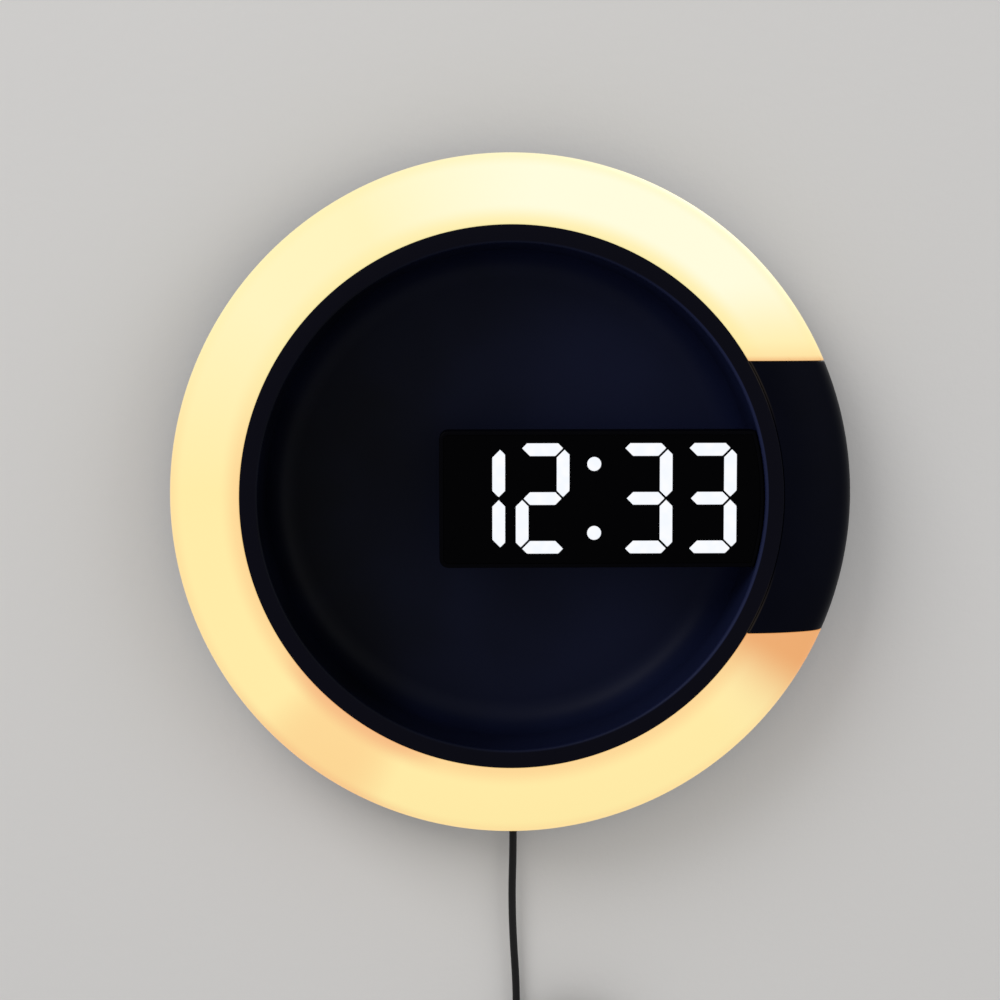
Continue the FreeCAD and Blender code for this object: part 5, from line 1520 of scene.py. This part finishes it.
@dataclass
class LeadPlug:
    """The moulded plug at the lead's end, its ringed strain relief and its metal shell."""

    centre: Pair = (-0.4, 9.0)
    top: float = -260.0
    boot_length: float = 4.0
    length: float = 19.0
    width: float = 15.4
    thickness: float = 7.6
    corner: float = 1.6
    edge: float = 0.5
    grooves: int = 5
    groove_pitch: float = 1.7
    groove_width: float = 0.8
    groove_slope: float = 0.1
    groove_depth: float = 0.35
    grip_start: float = 4.0
    shell_size: Spot = (12.0, 4.5, 12.0)
    shell_wall: float = 0.35
    shell_corner: float = 0.6
    room_corner: float = 0.3
    latch: Spot = (2.9, 1.15, 5.2)
    latch_corner: float = 0.1

    def block(self, name: str, size: Pair, heights: Pair, corner: float, shift: float = 0.0) -> Workpiece:
        """A rounded block on the plug's own axis or beside it.

        Args:
            name: the block's name.
            size: its width and thickness.
            heights: its bottom and top.
            corner: the radius of its upright edges.
            shift: how far it lies to the right of the axis.

        Returns:
            The block.
        """
        places = (self.centre[0] + shift, self.centre[1])
        sides, depths = ((place - long / 2, place + long / 2) for place, long in zip(places, size))
        return upright_block(name, sides, depths, heights, corner)

    def grip(self, piece: Workpiece, lowest: float) -> None:
        """Sinks a row of grooves round the body.

        Args:
            piece: the body.
            lowest: the height of the lowest groove in millimetres.
        """
        heights = [lowest + self.groove_pitch * step for step in range(self.grooves)]
        for height in heights:
            for side in (-0.5, 0.5):
                piece.slice(at(0, 0, height + side * self.groove_width), Vector((0, 0, 1)))
        piece.pick(
            Element.FACES,
            lambda place, way: min(abs(place.z / MM - middle) for middle in heights) < 0.05,
        )
        piece.inset(self.groove_slope, self.groove_depth)
        piece.outward()

    def strain_relief(self) -> Workpiece:
        """Models the tapered sleeve that the lead comes out of.

        Returns:
            The sleeve, with two rings cut into it.
        """
        x, depth = self.centre
        foot = self.top - self.boot_length
        base = [(0, -1), (3.5, -1), (3.5, 0.5), (3.35, 0.7)]
        lower_ring = [(2.8, 0.8), (2.75, 1.25), (3.1, 1.4), (3.0, 2.0), (2.85, 2.15)]
        upper_ring = [(2.4, 2.25), (2.35, 2.7), (2.65, 2.85), (2.55, 3.4), (2.3, 3.85)]
        line = [*base, *lower_ring, *upper_ring, (1.9, 4), (0, 4)]
        route = [at(x + radius, depth, foot + height) for radius, height in line]
        sleeve = Workpiece.drawn("strain_relief", route)
        sleeve.spin(40, centre=at(x, depth), axis=(0, 0, 1))
        sleeve.outward()
        return sleeve

    def metal_shell(self, high: float) -> bpy.types.Object:
        """Models the metal shell with two latch windows through each face.

        Args:
            high: the height at which it enters the body.

        Returns:
            The shell.
        """
        width, thickness, length = self.shell_size
        low, walls = high - length, 2 * self.shell_wall
        piece = self.block("plug_metal_shell", (width, thickness), (low, high), self.shell_corner)
        room = (width - walls, thickness - walls)
        piece.carve(self.block("shell_room", room, (low - 1, high + 1), self.room_corner))
        across, half, up = self.latch
        for side in (-1, 1):
            size, heights = (2 * half, thickness + 2), (low + up, low + up + 2 * half)
            piece.carve(self.block("latch_window", size, heights, self.latch_corner, side * across))
        shell = piece.done()
        place_piece(shell, "plug_metal", "clock", ("usb_plug_shell",))
        return shell

    def build(self) -> list[bpy.types.Object]:
        """Models the plug.

        Returns:
            Its body with the strain relief, and its metal shell.
        """
        high = self.top - self.boot_length
        low = high - self.length
        piece = self.block("plug_body", (self.width, self.thickness), (low, high), self.corner)
        piece.pick(Element.EDGES, runs_level)
        piece.bevel(self.edge, 3)
        self.grip(piece, low + self.grip_start)
        piece.carve(self.strain_relief(), "UNION")
        body = piece.done()
        place_piece(body, "cord_dark", "clock", ("usb_plug",))
        return [body, self.metal_shell(low)]


@dataclass
class CoilTie:
    """The soft strap round the coil, with rounded corners."""

    sides: Pair = (33.12, 50.30)
    depths: Pair = (0.30, 16.20)
    middle: float = -228.5
    height: float = 8.0
    wall: float = 0.8
    corner: float = 1.9
    edge_round: float = 0.25

    def loop(self, name: str, inward: float, height: float) -> Workpiece:
        """A rounded block round the coil.

        Args:
            name: the block's name.
            inward: how far it lies inside the strap's outer face.
            height: how high it is.

        Returns:
            The block.
        """
        sides, depths = ((low + inward, high - inward) for low, high in (self.sides, self.depths))
        heights = (self.middle - height / 2, self.middle + height / 2)
        return upright_block(name, sides, depths, heights, self.corner - inward)

    def build(self) -> bpy.types.Object:
        """Models the strap.

        Returns:
            The strap.
        """
        piece = self.loop("tie_strap", 0.0, self.height)
        piece.pick(Element.EDGES, runs_level)
        piece.bevel(self.edge_round, 2)
        piece.carve(self.loop("tie_room", self.wall, self.height + 2))
        strap = piece.done()
        place_piece(strap, "tie_black", "clock", ("coil_tie",))
        return strap


@dataclass
class RearControls:
    """The four dished push buttons and the coin cell's cap, seen on the back."""

    side: float = 112.5
    buttons: tuple[tuple[str, float], ...] = (
        ("set_button", 30.0),
        ("up_button", 19.0),
        ("down_button", 8.0),
        ("lamp_button", -3.0),
    )
    cell: Pair = (109.5, -24.0)
    cap_turn: float = 30.0
    lug_radius: float = 11.9
    lug_half: float = 2.4
    lug_depths: Pair = (2.5, 3.4)
    room_radius: float = 10.3
    room_depths: Pair = (2.6, 4.4)
    coin_slot: Pair = (6.5, 0.9)
    slot_depths: Pair = (-0.5, 1.4)

    def push_button(self) -> bpy.types.Object:
        """Models one button on the ring's own axis.

        Returns:
            The button, with a dished top, a flange and a stem.
        """
        dish = [(0, 0.66), (1, 0.61), (1.9, 0.47), (2.45, 0.34), (2.8, 0.3)]
        edge = [(3.1, 0.34), (3.35, 0.5), (3.5, 0.8), (3.5, 2.5)]
        flange_and_stem = [(4.4, 2.5), (4.4, 3.5), (1.5, 3.5), (1.5, 7.65), (0, 7.65)]
        piece = Workpiece.turned("push_button", dish + edge + flange_and_stem, False, 48)
        piece.outward()
        return piece.done()

    def bar(self, name: str, half_length: float, half: float, reach: float, depths: Pair) -> Workpiece:
        """A bar with round ends across the ring's axis.

        Args:
            name: the bar's name.
            half_length: from the axis to the centre of an end's arc.
            half: half of its width.
            reach: the radius of its ends.
            depths: where it starts and ends, in millimetres from the wall.

        Returns:
            The bar.
        """
        turn = math.degrees(math.asin(half / reach))
        right = arc((half_length, 0), reach, -turn, turn, 10)
        left = arc((-half_length, 0), reach, 180 - turn, 180 + turn, 10)
        back = [at(x, depths[0], z) for x, z in right + left]
        return Workpiece.pulled(name, back, at(0, depths[1] - depths[0]))

    def cell_cap(self) -> bpy.types.Object:
        """Models the coin cell's cap on the ring's own axis.

        Returns:
            The cap, with a rolled edge, two lugs and a coin slot.
        """
        face = [(0, 0.5), (8.6, 0.5), (8.9, 0.42), (9.1, 0.3)]
        edge = [(10.2, 0.3), (10.55, 0.4), (10.8, 0.6), (10.9, 0.95), (10.9, 3.4)]
        piece = Workpiece.turned("cap_blank", [*face, *edge, (0, 3.4)], False, 96)
        piece.outward()
        piece.carve(self.bar("cap_lugs", 0.0, self.lug_half, self.lug_radius, self.lug_depths), "UNION")
        (low, high), wide = self.room_depths, self.room_radius
        room = Workpiece.turned("cap_room", [(0, low), (wide, low), (wide, high), (0, high)], False, 96)
        room.outward()
        piece.carve(room)
        reach, half = self.coin_slot
        piece.carve(self.bar("coin_slot", reach - half, half, half, self.slot_depths))
        return piece.done()

    def build(self) -> None:
        """Models one button and the cap, and puts each in its place."""
        button = self.push_button()
        for name, height in self.buttons:
            top = copied(button, f"{name}_top", at(self.side, 0, height))
            place_piece(top, "button_grey", name, (name,))
        bpy.data.objects.remove(button)
        drawn = self.cell_cap()
        cap = copied(drawn, "cell_cap_cover", at(self.cell[0], 0, self.cell[1]), math.radians(-self.cap_turn))
        bpy.data.objects.remove(drawn)
        place_piece(cap, "cap_dark", "cell_cap", ("coin_cell_cap",))


class Carried:
    """The solids whose shape is right as it is, by their finish."""

    FINISHES: dict[str, tuple[str, ...]] = {
        "navy_case": ("rear_housing",),
        "window_gloss": ("display_window",),
        "tray_white": ("reflector_tray", "segment_reflector"),
        "board_white": ("ring_led_board",),
        "board_green": ("display_board", "main_board"),
        "led_yellow": ("ring_leds", "segment_leds"),
        "chip_black": (
            "display_driver_chip",
            "infrared_receiver",
            "controller_chip",
            "buzzer",
            "tact_switches",
        ),
        "bright_metal": ("clock_crystal", "smoothing_capacitor", "coin_cell"),
        "bead_brown": ("thermistor",),
        "socket_white": ("supply_header", "ribbon_sockets", "usb_tongue"),
        "ribbon_grey": ("display_ribbon",),
        "wire_red": ("ring_wires", "supply_wires"),
        "spring_brass": ("cell_contact_minus", "cell_contact_plus"),
        "screw_steel": ("housing_screws", "display_screws", "board_screws"),
        "cord_dark": ("cord_grommet",),
    }

    def build(self) -> None:
        """Paints each carried solid."""
        for finish, names in self.FINISHES.items():
            for name in names:
                PAINT.coat(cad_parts[name], finish)
                LOG.info("%s: painted as it is", name)


@dataclass
class Studio:
    """A plain pale wall and floor, and soft light from all sides."""

    wall_colour: Colour = (0.66, 0.65, 0.64, 1.0)
    floor_colour: Colour = (0.69, 0.685, 0.68, 1.0)
    floor_height: float = -0.42
    wall_size: float = 14.0
    behind: float = 0.0005
    sky: float = 0.6
    lamps: tuple[tuple[str, Spot, float, float], ...] = (
        ("key_lamp", (-1.3, -1.5, 1.5), 1.4, 24.0),
        ("fill_lamp", (1.7, -1.3, 0.4), 1.4, 6.0),
        ("rear_lamp", (1.1, 1.7, 1.4), 1.2, 34.0),
    )

    def one_sided(self, name: str, colour: Colour) -> bpy.types.Material:
        """Builds a plain matt finish that isn't there when it is seen from its back.

        Args:
            name: the material's name.
            colour: its colour.

        Returns:
            The material.
        """
        shader = Shader(name)
        shader.set(Base_Color=colour, Roughness=0.85, Specular_IOR_Level=0.1)
        shader.set(Normal=shader.bump(shader.noise(0.004, 3.0), 0.0001))
        behind = shader.node("ShaderNodeNewGeometry", output="Backfacing")
        clear = shader.node("ShaderNodeBsdfTransparent")
        solid = Sock(shader, shader.principled.outputs[0])
        blend = shader.node("ShaderNodeMixShader", None, {0: behind, 1: solid, 2: clear})
        output = next(node for node in shader.tree.nodes if node.type == "OUTPUT_MATERIAL")
        shader.feed(output.inputs["Surface"], blend)
        return shader.material

    def sheet(self, name: str, colour: Colour, place: Spot, turn: Spot) -> None:
        """Sets up one large stage sheet that throws no shadow on what is behind it.

        Args:
            name: the sheet's name.
            colour: its colour.
            place: its middle.
            turn: its angles about the three axes.
        """
        only_pick()
        bpy.ops.mesh.primitive_plane_add(size=self.wall_size, location=place, rotation=turn)
        sheet = bpy.context.object
        sheet.name = name
        sheet.data.materials.append(self.one_sided(name, colour))
        sheet.visible_shadow = False
        sheet.visible_diffuse = False
        sheet.visible_glossy = False

    def lamp(self, name: str, place: Spot, size: float, power: float) -> None:
        """Sets up one soft square lamp that points at the clock.

        Args:
            name: the lamp's name.
            place: where it stands.
            size: the length of its side.
            power: its power in watts.
        """
        data = bpy.data.lights.new(name, "AREA")
        data.shape = "SQUARE"
        data.size = size
        data.energy = power
        lamp = bpy.data.objects.new(name, data)
        lamp.location = place
        lamp.rotation_mode = "QUATERNION"
        lamp.rotation_quaternion = (-Vector(place)).to_track_quat("-Z", "Y")
        bpy.context.scene.collection.objects.link(lamp)

    def build(self) -> None:
        """Sets up the stage, the lamps and the sky."""
        middle = self.floor_height + self.wall_size / 2
        self.sheet("stage_wall", self.wall_colour, (0, self.behind, middle), (math.pi / 2, 0, 0))
        self.sheet("stage_floor", self.floor_colour, (0, 0, self.floor_height), (0, 0, 0))
        for name, place, size, power in self.lamps:
            self.lamp(name, place, size, power)
        world = bpy.data.worlds.new("studio")
        world.use_nodes = True
        background = world.node_tree.nodes["Background"]
        background.inputs["Color"].default_value = (1.0, 1.0, 1.0, 1.0)
        background.inputs["Strength"].default_value = self.sky
        bpy.context.scene.world = world
        bpy.context.scene.view_settings.view_transform = "Standard"


def main() -> None:
    """Builds the clock piece by piece, then the studio round it."""
    logging.basicConfig(level=logging.INFO, format="%(name)s %(message)s")
    Viewpoint().build()
    lead = SupplyLead()
    cord = lead.build()
    section = DomeSection()
    LitBand(section).build()
    SideCover(section).build()
    BowlShell().build()
    DisplaySlab().build()
    DigitCaps().build()
    RearControls().build()
    ends = [*LeadPlug().build(), CoilTie().build(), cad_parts["usb_tongue"]]
    Carried().build()
    at(*lead.exit)
    Studio().build()


if __name__ == "__main__":
    main()
